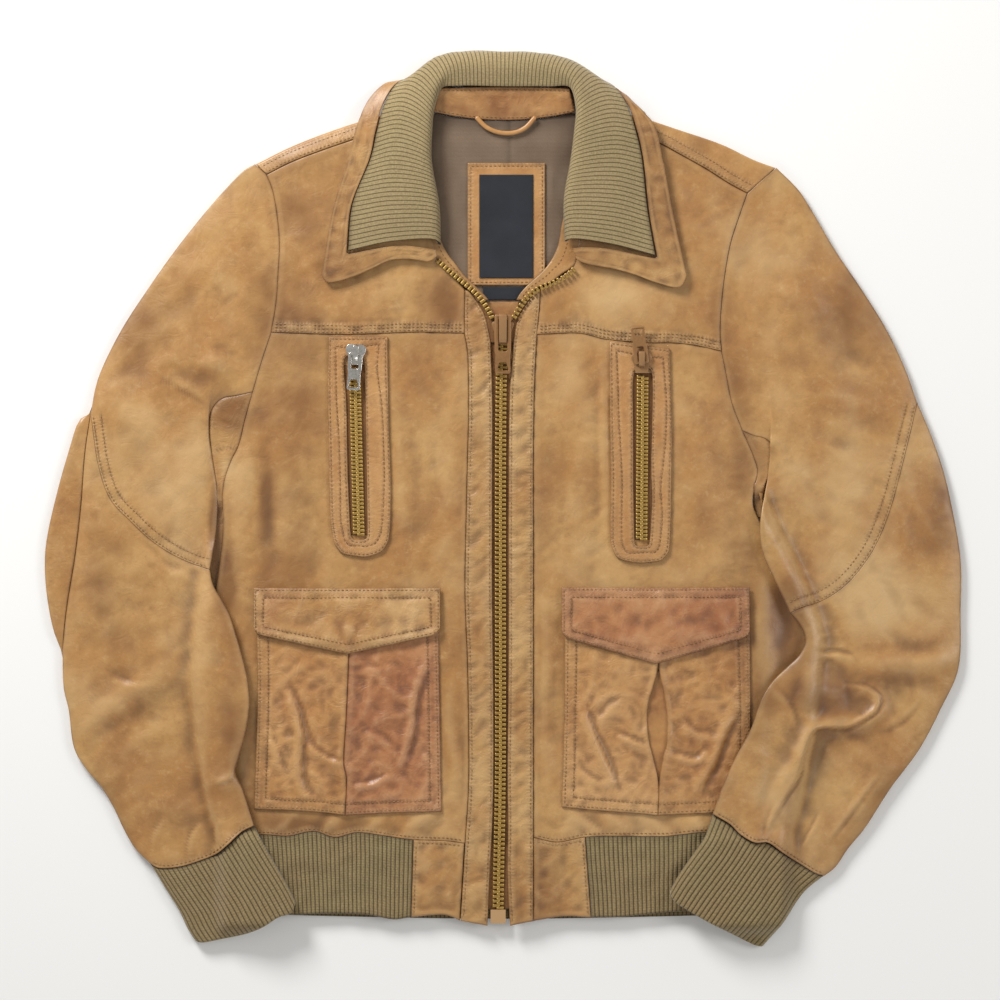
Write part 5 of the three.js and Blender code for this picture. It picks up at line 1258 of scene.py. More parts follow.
def weltPiece(name, outline, slot, tone):
    def dense(points, count):
        p = np.array([list(q) + [0] for q in points + points[:1]], float)
        flat = []
        for k in range(len(p) - 1):
            flat.append(p[k] + (p[k + 1] - p[k]) * np.linspace(0, 1, count, endpoint=False)[:, None])
        return np.vstack(flat)
    rounded = [dense(o, 9) for o in (outline, slot)]
    for _ in range(6):  # corners eased, but not the two at the yoke seam
        for k in (0, 1):
            p = rounded[k]
            free = ease((p[:, 1:2].max() - 8 - p[:, 1:2]) / 8) if k == 0 else 1
            rounded[k] = p + free * (0.25 * (np.roll(p, 1, 0) + np.roll(p, -1, 0)) - 0.5 * p)
    outer, inner = rounded
    wide = np.linalg.norm(outer - inner, axis=1)
    near, far = np.array(rimBands[:-1]) / welt["wide"], rimBands[-1] / welt["wide"]
    ts = np.r_[0, near, np.linspace(far, 1 - far, welt["columns"]), 1 - near[::-1], 1]
    grid = outer[None] + (inner - outer)[None] * ts[:, None, None]
    x, y = grid[..., 0], grid[..., 1]
    gap = np.minimum(ts[:, None], 1 - ts[:, None]) * wide[None]
    rows = [outer + (inner - outer) * (d / wide)[:, None] for d in welt["rows"]]
    rows.append(inner + (outer - inner) * (welt["inner"] / wide)[:, None])
    z = bodyTop(x, y) + welt["rise"]
    z = z + welt["puff"] * bell(gap - 2.4, 1.9)
    for row in rows:
        d, _ = nearLine(x, y, np.vstack([row, row[:1]]), 14)
        z = z - 0.36 * bell(d, 1.1) + 0.16 * noise(x, y, 6, 31) * bell(d, 4)
    z = z + 0.2 * wrinkles(x, y) * np.clip(gap / 4, 0, 1)
    under = z - welt["depth"]
    values = leatherMarks(x, y, gap, [np.vstack([r, r[:1]]) for r in rows], tone, 0.8, z)
    z = z - turnedEdge(gap, welt["edge"])
    shell(name, raised(x, y, z), raised(x, y, under), weltLeather,
          values, ring=True)
    for row in rows:
        stitchLine(np.vstack([row, row[:1]]), lambda px, py: bodyTop(px, py) + welt["rise"])


weltPiece("chest_welt_left", weltL, slotL, 0.22)
weltPiece("chest_welt_right", weltR, slotR, 0.05)
print("chest welts")

# Sleeves: upper and lower part meet at the slanting elbow seam
sleeve = {"puff": 0.1, "edge": 0.5, "dent": 0.5, "pucker": 0.28, "puckerSize": 8, "grain": 0.16,
          "crumple": 0.34, "rows": (2.0, 8.6)}
sleeveFolds = {
    "left": [
        ([[-362, -196], [-325, -168], [-280, -142]], 3.2, 11),
        ([[-218, -196], [-229, -233], [-247, -241]], 3.5, 8),
        ([[-350, 96], [-300, 60], [-258, -30]], 2.4, 16),
        ([[-205, 96], [-236, 112], [-262, 122]], 2.6, 9),
        ([[-330, -225], [-306, -205], [-262, -190]], 1.6, 12),
        ([[-236, -275], [-262, -262], [-300, -262]], 1.3, 9),
        ([[-262, 150], [-290, 120], [-300, 60]], 1.4, 16),
        ([[-345, -60], [-335, -110], [-345, -150]], 1.5, 14),
        ([[-250, -100], [-262, -150], [-252, -190]], 1.5, 14),
    ],
    "right": [
        ([[301, -139], [340, -141], [382, -137]], 4.5, 11),
        ([[316, -163], [319, -177], [309, -188], [284, -190], [264, -195], [257, -204],
          [249, -223], [235, -245], [226, -272]], 6, 9),
        ([[248, -160], [268, -166], [292, -162]], 5.5, 20),
        ([[230, 212], [270, 120], [281, 85], [273, 48]], 3.2, 17),
        ([[213, 53], [224, 50], [234, 47]], 1.6, 5),
        ([[256, 3], [262, -6], [256, -14]], 1.2, 8),
        ([[320, -232], [298, -262], [258, -300]], 1.8, 11),
        ([[345, -205], [318, -245], [290, -290]], 1.4, 10),
        ([[300, 60], [330, 10], [342, -60]], 1.4, 16),
        ([[262, 60], [290, 10], [300, -40]], 1.2, 14),
    ],
}
# small pinched creases: line, height, width
sleeveCreases = {
    "left": [
        ([[-252, 84], [-270, 95], [-288, 105]], 1.0, 5),
        ([[-222, -212], [-232, -236], [-245, -241]], 1.2, 4),
        ([[-300, -296], [-296, -284], [-288, -272]], 0.8, 4),
        ([[-268, -308], [-266, -290], [-258, -276]], 0.9, 4),
        ([[-240, -298], [-244, -284], [-240, -270]], 0.9, 4),
        ([[-340, -150], [-318, -160], [-296, -158]], 0.8, 7),
        ([[-310, -40], [-290, -60], [-262, -70]], 0.7, 8),
    ],
    "right": [
        ([[268, -134], [284, -134], [298, -137]], 1.6, 6),
        ([[290, -159], [307, -161.5], [317.6, -169], [316, -178], [304, -186.7], [291, -193],
          [269, -193], [260, -198], [253, -216], [248.6, -235], [237, -252.5], [227, -272]], 2.2, 4),
        ([[319, -231], [295, -264], [275, -290]], 1.0, 5),
        ([[254, -297], [262, -284], [270, -268]], 0.9, 4),
        ([[222, -286], [226, -272], [232, -258]], 0.9, 4),
        ([[352, -170], [338, -186], [318, -196]], 0.9, 6),
        ([[226, -160], [240, -176], [246, -196]], 1.0, 6),
    ],
}


def crownOf(v):
    return np.sqrt(np.maximum(0, 1 - np.abs(2 * v - 1) ** 4))


def sleeveHeight(side, x, y, v, u=None):
    base = climb(side, x, y)
    if np.ndim(x) == 2:
        base = smoothed(base, 3)
    rim = np.minimum(1, crownOf(v) * 1.2)
    z = base + np.minimum(2.9, base) + jacket["edgeTop"] + jacket["sleeveFull"] * crownOf(v)
    relief = 0.7 * noise(x, y, 52, 100) + 0.35 * noise(x, y, 24, 101)
    relief = relief + 0.42 * creases(x, y, 27, 102, 0.6 if side == "left" else -0.8, 1.8)
    for line, high, wide in sleeveFolds[side]:
        relief = relief + fold(x, y, curve(line), high, wide)
    for line, high, wide in sleeveCreases[side]:
        relief = relief + crest(x, y, line, high, wide)
    z = z + relief * rim
    if u is not None:
        z = z + (bodyTop(x, y) - z) * (1 - ease(u / 0.3))
    return z


def onGrid(grid):  # height of a laid piece at any place, from its own nearest points
    flat = grid.reshape(-1, 3)

    def height(x, y):
        shape = np.shape(x)
        px, py = np.ravel(x), np.ravel(y)
        out = np.empty(px.size)
        for k in range(px.size):
            d = (flat[:, 0] - px[k]) ** 2 + (flat[:, 1] - py[k]) ** 2
            near = np.argpartition(d, 4)[:4]
            weight = 1 / (d[near] + 0.05)
            out[k] = (flat[near, 2] * weight).sum() / weight.sum()
        return out.reshape(shape)
    return height


def sleevePanel(name, side, bottom, top, left, right, lines, upper):
    us = spread((lengths(bottom)[-1] + lengths(top)[-1]) / 2, jacket["step"])
    vs = spread((lengths(left)[-1] + lengths(right)[-1]) / 2, jacket["step"])
    grid = drawIn(coons(bottom, top, left, right, 0, us=us, vs=vs), jacket["seamGap"])
    x, y = grid[..., 0], grid[..., 1]
    u, v = np.broadcast_to(us[None], x.shape), np.broadcast_to(vs[:, None], x.shape)
    z = sleeveHeight(side, x, y, v, u if upper else None)
    gap = rimDistance(grid)
    for line in lines:
        d, _ = nearLine(x, y, line, 14)
        z = z - 0.34 * bell(d, 1.1) + 0.28 * noise(x, y, 8, 31) * bell(d, 6)
    z = z + sleeve["grain"] * wrinkles(x, y) * np.clip(gap / 4, 0, 1)
    plain = raised(x, y, z)
    under = z - jacket["wall"]
    z = z - turnedEdge(gap, sleeve["edge"])
    # the sleeve's height over its smoothed climb sets the painted highlight and painted shade
    values = leatherMarks(x, y, gap, lines, 0.0, sleeve["crumple"],
                          plain[..., 2] - smoothed(climb(side, x, y), 3))
    shell(name, raised(x, y, z), raised(x, y, np.minimum(under, z - jacket["thinnest"])),
          tanLeather, values)
    stitchLines(lines, onGrid(plain))
    return grid


def addSleeve(side, lines):
    inUp, inLow, outUp, elbow, cuffSeam = [curve(lines[key]) for key in
                                           ("inUp", "inLow", "outUp", "elbow", "cuff")]
    outLow, arm, armFoot, backTip = [lines[key] for key in ("outLow", "arm", "armFoot", "backTip")]
    hole = join(*[curve(n) for n in arm])
    turn = 1 if side == "left" else -1
    bandRows = [trimmed(sideways(elbow, turn * -d), 3, 3) for d in sleeve["rows"]]
    sleevePanel("sleeve_upper_" + side, side, inUp, outUp, hole, elbow, bandRows, True)
    outer = curve(lines["seamLow"] + outLow[1:])
    cuffRow = [trimmed(sideways(cuffSeam, -turn * 2.6), 3, 3)]
    sleevePanel("sleeve_lower_" + side, side, inLow, outer, elbow, cuffSeam, cuffRow, False)

    # under sleeve on the floor; on the left it comes round the outer edge, folded double
    armLine = join(curve(armFoot), curve(arm[0]), curve(arm[1][:-1] + [backTip]),
                   curve([backTip, arm[2][-1]]))
    inside = join(curve([armFoot[0]] + lines["inUp"][-5:]), inLow)
    outSeam = join(outUp, outer)
    outEdge = join(outUp, curve(lines["edgeLow"] + outLow[1:]))
    grid = coons(inside, outSeam, armLine, cuffSeam, jacket["hiddenStep"])
    grid = drawIn(grid, 0.8)
    grid[-1] = at(outSeam, np.linspace(0, 1, grid.shape[1]))
    if side == "left":
        edge = at(outEdge, np.linspace(0, 1, grid.shape[1]))
        seamRow = grid[-1].copy()
        strip = [seamRow + (edge - seamRow) * t for t in (0.04, 0.12, 0.25, 0.45, 0.65, 0.82, 0.94, 1)]
        wide = np.linalg.norm(edge - seamRow, axis=1)
        doubled = ease((wide - 2) / 5)
        lift = [doubled * (jacket["edgeTop"] - jacket["wall"] + 1.4 * t) for t in
                (0.3, 0.5, 0.6, 0.8, 1.0, 0.95, 0.6, 0.1)]
        grid = np.concatenate([grid, np.array(strip)])
    x, y = grid[..., 0], grid[..., 1]
    base = climb(side, x, y)
    top = base + jacket["wall"]
    if side == "left":
        top[-8:] += np.array(lift)
        top[-8:] += 0.5 * noise(x[-8:], y[-8:], 22, 110) * doubled
    gap = rimDistance(grid)
    crease = 0.35 * np.clip(creases(x, y, 26, 111, 0.4, 1.5), 0, 1)
    low = base + crease * np.clip(gap / 9, 0, 1) + 0.6 * turnedEdge(gap, 1.2)
    values = leatherMarks(x, y, gap + 1.0, [], -0.1, 0.5)
    shell("sleeve_under_" + side, raised(x, y, np.maximum(top, low + 0.5)),
          raised(x, y, low), tanLeather, values)

    # gusset under the arm; its point runs down the gap between the body and the sleeve
    bodySide = cutLine(curve(armFoot), 0, 0.97)
    crook = inUp[:np.argmax(inUp[:, 1] <= armFoot[0][1] + 8) + 1]
    gapBody, gapSleeve = lines["gussetPoint"]
    bodySide = join(curve(gapBody), bodySide)
    grid = between(bodySide, join(curve(gapSleeve), crook[::-1]), 1.8)
    foot = armFoot[0][1]

    def gussetTop(px, py):
        high = torsoTop(px, py) + climb(side, px, py) + 0.3 + 0.3 * noise(px, py, 12, 112)
        return 3.0 + (high - 3.0) * ease((py - foot + 14) / 14)
    # its tone of -0.3 paints shade under the arm
    panel("gusset_" + side, grid, gussetTop, tanLeather,
          {"gap": 0.0, "edge": 0.4, "tone": -0.3, "crumple": 0.9},
          [curve(n) for n in lines["gussetSeam"]])


shoulder = {"columns": 76, "rows": (2.2, 8.4), "behind": 22}  # mm it goes on behind the fold


def backShoulder(seamLine, topLine, n=60):
    s, t = evenly(seamLine, n), evenly(topLine, n)
    way = s - t
    way[:, 2] = 0
    reach = shoulder["behind"] / np.maximum(np.linalg.norm(way, axis=1), 1)
    return t * [1, 1, 0] + way * reach[:, None]


backSeamL = backShoulder(shoulderSeamL, shoulderTopL)
backSeamR = backShoulder(shoulderSeamR, shoulderTopR)
sleeveLines = {
    "left": {"inUp": sleeveInUpL, "inLow": sleeveInLowL, "outUp": sleeveOutUpL,
             "seamLow": sleeveSeamLowL, "outLow": sleeveOutLowL, "edgeLow": sleeveEdgeL,
             "elbow": elbowL, "cuff": cuffSeamL, "arm": [armMidL, armHighL, armTipL],
             "armFoot": armLowL, "backTip": list(backSeamL[0][:2]),
             "gussetSeam": [[[-246, 41], [-238, 43.5], [-228, 43]]],
             "gussetPoint": ([[-239, -86], [-240, -50], [-238, -20], [-240, 2]],
                             [[-248, -86], [-252, -50], [-247, -20], [-245, 8]])},
    "right": {"inUp": sleeveInUpR, "inLow": sleeveInLowR, "outUp": sleeveOutUpR,
              "seamLow": sleeveOutLowR[:7], "outLow": sleeveOutLowR[6:],
              "edgeLow": sleeveOutLowR[:7], "elbow": elbowR, "cuff": cuffSeamR,
              "arm": [armMidR, armHighR, armTipR], "armFoot": armLowR,
              "backTip": list(backSeamR[0][:2]), "gussetSeam": [],
              "gussetPoint": ([[214, -16], [213, -4], [213, 13]],
                              [[222, -16], [221, -4], [222, 12]])},
}
for side in ("left", "right"):
    addSleeve(side, sleeveLines[side])
print("sleeves")

# Cuffs: flat knit tubes
cuff = {"long": 66, "height": 9, "knitWall": 3, "ribs": 25, "perRib": 7, "ribHigh": 0.95, "rows": 26,
        "underColumns": 60}


def addCuff(name, side, seamLine, endLine, inLine, outLine):
    cells = cuff["ribs"] * cuff["perRib"]
    vs = spread(cuff["long"], cuff["long"] / cuff["rows"])
    plan = coons(curve(seamLine), curve(endLine), curve(inLine), curve(outLine), 0,
                 us=np.linspace(0, 1, cells + 1), vs=vs)
    plan = drawIn(plan, 0.4)
    wide = np.linalg.norm(plan[:, 0] - plan[:, -1], axis=1)[:, None]
    a = np.r_[np.linspace(0, 1, cells + 1), np.linspace(1, 0, cuff["underColumns"] + 2)[1:-1]]
    up = np.r_[np.ones(cells + 1), -np.ones(cuff["underColumns"])]
    bulge = np.sqrt(np.maximum(0, 1 - np.abs(2 * a - 1) ** 6))
    ridge, offset = ribShape(a * cuff["ribs"])
    down = vs[:, None] * cuff["long"]
    gapRim = np.minimum(vs, 1 - vs)[:, None] * cuff["long"]

    def ring(isOuter):
        shrink = 1 if isOuter else 1 - 2 * cuff["knitWall"] / wide
        place = (0.5 + (a[None] - 0.5) * shrink) * cells
        m = np.clip(place.astype(int), 0, cells - 1)
        row = np.arange(len(vs))[:, None]
        p = plan[row, m] + (plan[row, m + 1] - plan[row, m]) * (place - m)[..., None]
        half = cuff["height"] / 2 - (0 if isOuter else cuff["knitWall"])
        under = plan[row, np.clip(np.rint(a[None] * cells).astype(int) + 0 * row, 0, cells)]
        z = climb(side, under[..., 0], under[..., 1]) + cuff["height"] / 2 + up * half * bulge
        if isOuter:
            z = z + np.where(up > 0, cuff["ribHigh"], 0) * ridge * bulge
            z = z + np.where(up > 0, 0, 0.6 * (1 - ridge)) * bulge
            z = z - up * turnedEdge(gapRim, 1.4)
            z = z - np.where(up > 0, 0.7, 0) * bell(down, 3.5)
        return np.stack([p[..., 0], p[..., 1], z], -1)

    outer = ring(True)
    # painted shade in the valleys between the ribs, and darker beside the seam
    valley = np.clip(1 - ridge / valleyBelow, 0, 1)
    dirt_and_shade = np.maximum(valley[None], 0.7 * bell(down, 1.6))
    values = dict(plainMarks, dirt_and_shade=dirt_and_shade, across=np.broadcast_to(offset, dirt_and_shade.shape),
                  along=np.broadcast_to(down, dirt_and_shade.shape))
    shell(name, outer, ring(False), hemKnit, values, ring=True)


addCuff("cuff_left", "left", cuffSeamL, cuffEndL, cuffInL, cuffOutL)
addCuff("cuff_right", "right", cuffSeamR, cuffEndR, cuffInR, cuffOutR)
print("cuffs")

# Back panel and its rib hem, their outer face down on the floor
neckBack = curve([list(backSeamL[-1][:2]), [-40, 318], [0, 321], [40, 318],
                  list(backSeamR[-1][:2])])
backTop = join(backSeamL, neckBack, backSeamR[::-1])
backFoot = curve([[-231, -286], [-100, -287], [0, -288], [100, -287], [231, -286]])
backLeft = join(sideL, curve(armHighL[:-1] + [list(backSeamL[0][:2])]))
backRight = join(sideR, curve(armHighR[:-1] + [list(backSeamR[0][:2])]))
backGrid = drawIn(coons(backFoot, backTop, backLeft, backRight, jacket["hiddenStep"]),
                  jacket["seamGap"])
x, y = backGrid[..., 0], backGrid[..., 1]
gap = rimDistance(backGrid)
rest = neckLift(x, y)
low = rest + 0.4 * np.clip(creases(x, y, 34, 120, 0.3, 1.4), 0, 1) * np.clip(gap / 12, 0, 1)
low = low + 0.7 * turnedEdge(gap, 1.2)
shell("back_panel", raised(x, y, rest + jacket["wall"]), raised(x, y, low),
      tanLeather, leatherMarks(x, y, gap, [], 0.0, 0.4))
backHem = {"wide": 460, "perRib": 5, "rowStep": 9, "ribHigh": 0.8}
ribTotal = round(backHem["wide"] / jacket["ribPitch"])
us = np.linspace(0, 1, ribTotal * backHem["perRib"] + 1)
vs = spread(jacket["hemHeight"], backHem["rowStep"])
hemBack = coons(curve([[-224, -354], [0, -358], [224, -354]]), backFoot,
                np.array([[-224, -354, 0], [-231, -286, 0]]),
                np.array([[224, -354, 0], [231, -286, 0]]), 0, us=us, vs=vs)
hemBack = drawIn(hemBack, 0.2)
x, y = hemBack[..., 0], hemBack[..., 1]
gap = rimDistance(hemBack)
ridge, values = knitValues(np.broadcast_to(us * ribTotal, x.shape),
                           np.broadcast_to(vs[:, None] * jacket["hemHeight"], x.shape), gap)
low = backHem["ribHigh"] * (1 - ridge) + 0.7 * turnedEdge(gap, 1.2)
shell("back_hem_rib", raised(x, y, 0 * x + jacket["wall"]), raised(x, y, low),
      hemKnit, values)


# Shoulders: the leather comes forward over the fold to its seam on the front
def addShoulder(name, seamLine, topLine):
    n = shoulder["columns"]
    s, t = evenly(seamLine, n), evenly(topLine, n)
    back = backShoulder(seamLine, topLine, n)
    way = (t - s) * [1, 1, 0]
    way = way / np.maximum(np.linalg.norm(way, axis=1, keepdims=True), 1e-6)
    r = jacket["shoulderFold"] / 2
    low = neckLift(t[:, 0], t[:, 1])
    centre = t * [1, 1, 0] - way * r
    start = s * [1, 1, 0] + way * 0.4

    def face(depth):
        rows = []
        for part in (0, 0.04, 0.1, 0.2, 0.32, 0.45, 0.58, 0.7, 0.82, 0.92):
            p = start + (centre - start) * part
            z0 = bodyTop(s[:, 0], s[:, 1])
            z = z0 + (low + jacket["shoulderFold"] - z0) * part + 0.5 * math.sin(math.pi * part)
            z = z + 0.25 * noise(p[:, 0], p[:, 1], 14, 130) * math.sin(math.pi * part)
            edge = turnedEdge(np.linalg.norm(p - start, axis=1), 1.0) if depth == 0 else 0
            rows.append(np.column_stack([p[:, :2], z - edge - depth]))
        for angle in np.radians(np.linspace(90, -90, 15)):
            q = r - depth
            p = centre + way * q * math.cos(angle)
            rows.append(np.column_stack([p[:, :2], low + r + q * math.sin(angle)]))
        end = back + way * 0.4
        for part in (0.2, 0.4, 0.6, 0.8, 0.95, 1.0):
            p = centre + (end - centre) * part
            lift = neckLift(p[:, 0], p[:, 1])
            rows.append(np.column_stack([p[:, :2], lift + depth + (0.5 if part == 1 else 0)]))
        grid = np.array(rows)
        for end, beside in ((0, 1), (-1, -2)):  # the ends drawn in by half a millimetre
            inward = grid[:, beside] - grid[:, end]
            wide = np.linalg.norm(inward, axis=1, keepdims=True)
            grid[:, end] += inward * (0.5 / np.maximum(wide, 0.5))
        return grid

    top = face(0)
    gap = np.broadcast_to(np.linalg.norm(top[:, :, :2] - start[None, :, :2], axis=2),
                          top.shape[:2])
    lines = [np.column_stack([(start + way * d)[:, :2], 0 * start[:, 0]]) for d in shoulder["rows"]]
    values = leatherMarks(top[..., 0], top[..., 1], gap, lines, 0.0, 0.4)
    shell(name, top, face(jacket["wall"]), tanLeather, values)
    for line in lines:
        stitchLine(trimmed(line, 3, 12), onGrid(top[:12]))


addShoulder("shoulder_left", shoulderSeamL, shoulderTopL)
addShoulder("shoulder_right", shoulderSeamR, shoulderTopR)
print("back and shoulders")

# Collar: knit inlay from the neck over the roll and down the leaf, leather border round it
collar = {"wall": 2.8, "perRib": 6, "ribHigh": 0.85, "borderWall": 2.6,
          "borderColumns": 10, "seam": 2.4, "stitchIn": 4.2}


def aboveYoke(p, least):
    near = (np.abs(p[..., 0]) > 70) & (p[..., 1] < 326)
    out = p.copy()
    out[..., 2] = np.where(near, np.maximum(p[..., 2], torsoTop(p[..., 0], p[..., 1]) + least),
                           p[..., 2])
    return out


def offsetGrid(grid, depth):
    across = np.gradient(grid, axis=1)
    along = np.gradient(grid, axis=0)
    normal = np.cross(across, along)
    normal /= np.maximum(np.linalg.norm(normal, axis=2, keepdims=True), 1e-9)
    depth = np.asarray(depth, float)
    return grid + normal * (depth[..., None] if depth.ndim else depth)


def onFloor(outer, inner):  # both faces go up together where either would sink into the floor
    rise = np.maximum(0, -np.minimum(outer[..., 2], inner[..., 2]))[..., None] * [0, 0, 1]
    return outer + rise, inner + rise


collarLength = lengths(curve(rollLine))[-1]
collarRibs = round(collarLength / jacket["collarPitch"])
rowsAlong = collarRibs * collar["perRib"]
parts = np.linspace(0, 1, rowsAlong + 1)
collarRuns = [at(curve(n), parts) for n in (bandTop, rollLine, leafLine, inlaySeam)]
acrossCount = 26
ribGrid = np.empty((rowsAlong + 1, acrossCount + 1, 3))
acrossParts = np.r_[0, 0.006, 0.018, np.linspace(0.035, 0.965, acrossCount - 5), 0.982, 0.994, 1]
for k in range(rowsAlong + 1):
    four = aboveYoke(np.array([n[k] for n in collarRuns]), 3.7)
    ribGrid[k] = at(curve(four), acrossParts)
place = np.broadcast_to((parts * collarRibs)[:, None], ribGrid.shape[:2])
ridge, offset = ribShape(place)
acrossLength = lengths(ribGrid[rowsAlong // 4])[-1]
gap = np.minimum(acrossParts, 1 - acrossParts)[None] * acrossLength
gap = np.broadcast_to(gap, ribGrid.shape[:2])
ripple = 0.35 * noise(ribGrid[..., 0], ribGrid[..., 1], 30, 140)
outerRib = offsetGrid(ribGrid, collar["ribHigh"] * ridge - turnedEdge(gap, 1.2) + ripple * 0.5)
outerRib, innerRib = onFloor(outerRib, offsetGrid(ribGrid, -collar["wall"]))
# painted shade in the valleys between the ribs, and darker along the rims
valley = np.clip(1 - ridge / 0.74, 0, 1)
ribMarks = dict(plainMarks, dirt_and_shade=np.maximum(valley, 0.5 * bell(gap, 1.4)), across=offset,
                along=np.broadcast_to(acrossParts[None] * acrossLength, ridge.shape))
shell("collar_rib", outerRib, innerRib, collarKnit, ribMarks)

innerRim, outerRim = [np.vstack([evenly(first, 40)[:-1], evenly(middle, 260), evenly(last, 40)[1:]])
                      for first, middle, last in ((frontInL, inlaySeam, frontInR),
                                                  (frontOutL, collarEdge, frontOutR))]
reach = np.linalg.norm(outerRim - innerRim, axis=1)
ts = np.r_[0, 0.02, 0.05, np.linspace(0.1, 0.9, collar["borderColumns"]), 0.95, 0.98, 1]
begin = collar["seam"] / reach
border = innerRim[:, None] + (outerRim - innerRim)[:, None] * (
    begin[:, None] + (1 - begin[:, None]) * ts[None])[..., None]
border = aboveYoke(border, 3.5)
gap = np.minimum(ts, 1 - ts)[None] * (reach * (1 - begin))[:, None]
x, y = border[..., 0], border[..., 1]
swell = 0.25 * bell(gap - 2.4, 1.9) - 0.35 * bell(gap - collar["stitchIn"], 1.1)
swell = swell + 0.4 * noise(x, y, 9, 150) + 0.35 * wrinkles(x, y)
face, underFace = onFloor(offsetGrid(border, swell - turnedEdge(gap, 1.1)),
                          offsetGrid(border, -collar["borderWall"]))
shell("collar_border", face, underFace, tanLeather,
      leatherMarks(x, y, gap, [], -0.3, 0.8, border[..., 2] + 1.6 * swell))
for share in ("in", "out"):
    d = collar["stitchIn"] / (reach * (1 - begin))
    d = np.clip(d if share == "in" else 1 - d, 0, 1)
    line = np.array([[np.interp(d[k], ts, border[k, :, c]) for c in range(3)]
                     for k in range(len(border))])
    top = [k for k in range(len(line)) if line[k, 1] < 320]
    half = len(line) // 2
    for keep in ([k for k in top if k < half], [k for k in top if k >= half]):
        stitchLine(trimmed(line[keep], 4, 6), lift=0.05)
print("collar")

# Facings up the inside of the open neck
facing = {"wall": 1.6, "columns": 7}


def addFacing(name, outLine, inLine):
    n = 110
    a, b = evenly(outLine, n), evenly(inLine, n)
    d = np.linalg.norm(b - a, axis=1, keepdims=True)
    a = a - (b - a) * (2.2 * ease((a[:, 1:2] - 190) / 10) - 0.6) / d
    ts = np.r_[0, 0.04, np.linspace(0.12, 0.88, facing["columns"]), 0.96, 1]
    grid = a[:, None] + (b - a)[:, None] * ts[None, :, None]
    sign = -1 if name.endswith("left") else 1
    gap = np.minimum(ts, 1 - ts)[None] * np.linalg.norm(b - a, axis=1)[:, None]
    x, y = grid[..., 0], grid[..., 1]
    bump = (0.3 * noise(x, y, 10, 160) - turnedEdge(gap, 0.8)) * -sign
    shell(name, offsetGrid(grid, bump), offsetGrid(grid, sign * facing["wall"]), tanLeather,
          leatherMarks(x, y, gap, [], -0.25, 0.6))
    line = grid[:, 6]
    stitchLine(trimmed(line, 3, 30), lift=0.1)


addFacing("facing_left", facingOutL, facingInL)
addFacing("facing_right", facingOutR, facingInR)

# Neck band, lining, hanger loop and labels
neckBand = {"high": 28.5, "wall": 1.6, "columns": 70,
            "rows": (0, 0.015, 0.04, 0.09, 0.16, 0.3, 0.5, 0.7, 0.84, 0.91, 0.96, 0.985, 1)}
t = np.linspace(-1, 1, neckBand["columns"])
lowBand = np.stack([t * 60, 322 + 7 * t * t, 10.4 + 2.6 * t * t], 1)
highBand = np.stack([t * 55.5, 350.1 - 1.6 * t * t, 15 + 0.8 * t * t], 1)
rows = np.array(neckBand["rows"])[:, None, None]
band = lowBand[None] + (highBand - lowBand)[None] * rows
gap = np.minimum(rows[..., 0], 1 - rows[..., 0]) * neckBand["high"] + 0 * band[..., 0]
x, y = band[..., 0], band[..., 1]
bump = 0.35 * noise(x, y, 13, 170) + 0.25 * noise(x, y, 6, 171) - turnedEdge(gap, 0.9)
bump = bump - 0.3 * bell(gap - 2.6, 1.0)
shell("neck_band", offsetGrid(band, bump), offsetGrid(band, -neckBand["wall"]), weltLeather,
      leatherMarks(x, y, gap, [], -0.3, 0.9, 10 + 1.6 * bump))
for part in (0.09, 0.91):
    stitchLine(lowBand + (highBand - lowBand) * part, lift=0.15)


def liningTop(x, y):
    return jacket["wall"] + 2.3 + neckLift(x, y) + 0.9 * ease((y - 235) / 20)


lining = {"depth": 1.9, "seamAt": 3.5}
liningGrid = coons(curve([[-52, 112], [0, 108], [52, 112]]),
                   curve([[-59, 328], [-30, 323.2], [0, 321.6], [30, 323.2], [60, 328]]),
                   curve([[-52, 112], [-64, 180], [-67, 240], [-66, 300], [-59, 328]]),
                   curve([[52, 112], [64, 180], [67, 240], [66, 300], [60, 328]]), 2.4)
x, y = liningGrid[..., 0], liningGrid[..., 1]
gap = rimDistance(liningGrid)
wave = 0.5 * noise(x, y, 26, 180) + 0.35 * creases(x, y, 30, 181, 1.3, 2.2)
wave = wave + fold(x, y, [[-48, 300], [-40, 260], [-44, 210]], 1.0, 5)
wave = wave + fold(x, y, [[44, 300], [38, 270], [50, 230]], 0.9, 5)
wave = (wave * np.clip(gap / 8, 0, 1)) - 0.5 * bell(x - lining["seamAt"], 1.2)
under = liningTop(x, y) - lining["depth"]
labels = ((x > -34) & (x < 38) & (y > 165) & (y < 289))
wave = np.where(labels, np.minimum(wave, 0.2), wave)
# painted shade along the rims, where the lining runs under the facings and the neck band, and darker
# along its centre seam
shell("lining", raised(x, y, liningTop(x, y) + np.clip(wave, -1.2, 2)),
      raised(x, y, under), liningTwill,
      dict(plainMarks, dirt_and_shade=0.75 * bell(gap, 9) + 0.5 * bell(x - lining["seamAt"], 1.5)))


def onLining(rise):
    return lambda x, y: liningTop(x, y) + rise + 0.25 * noise(x, y, 24, 190)


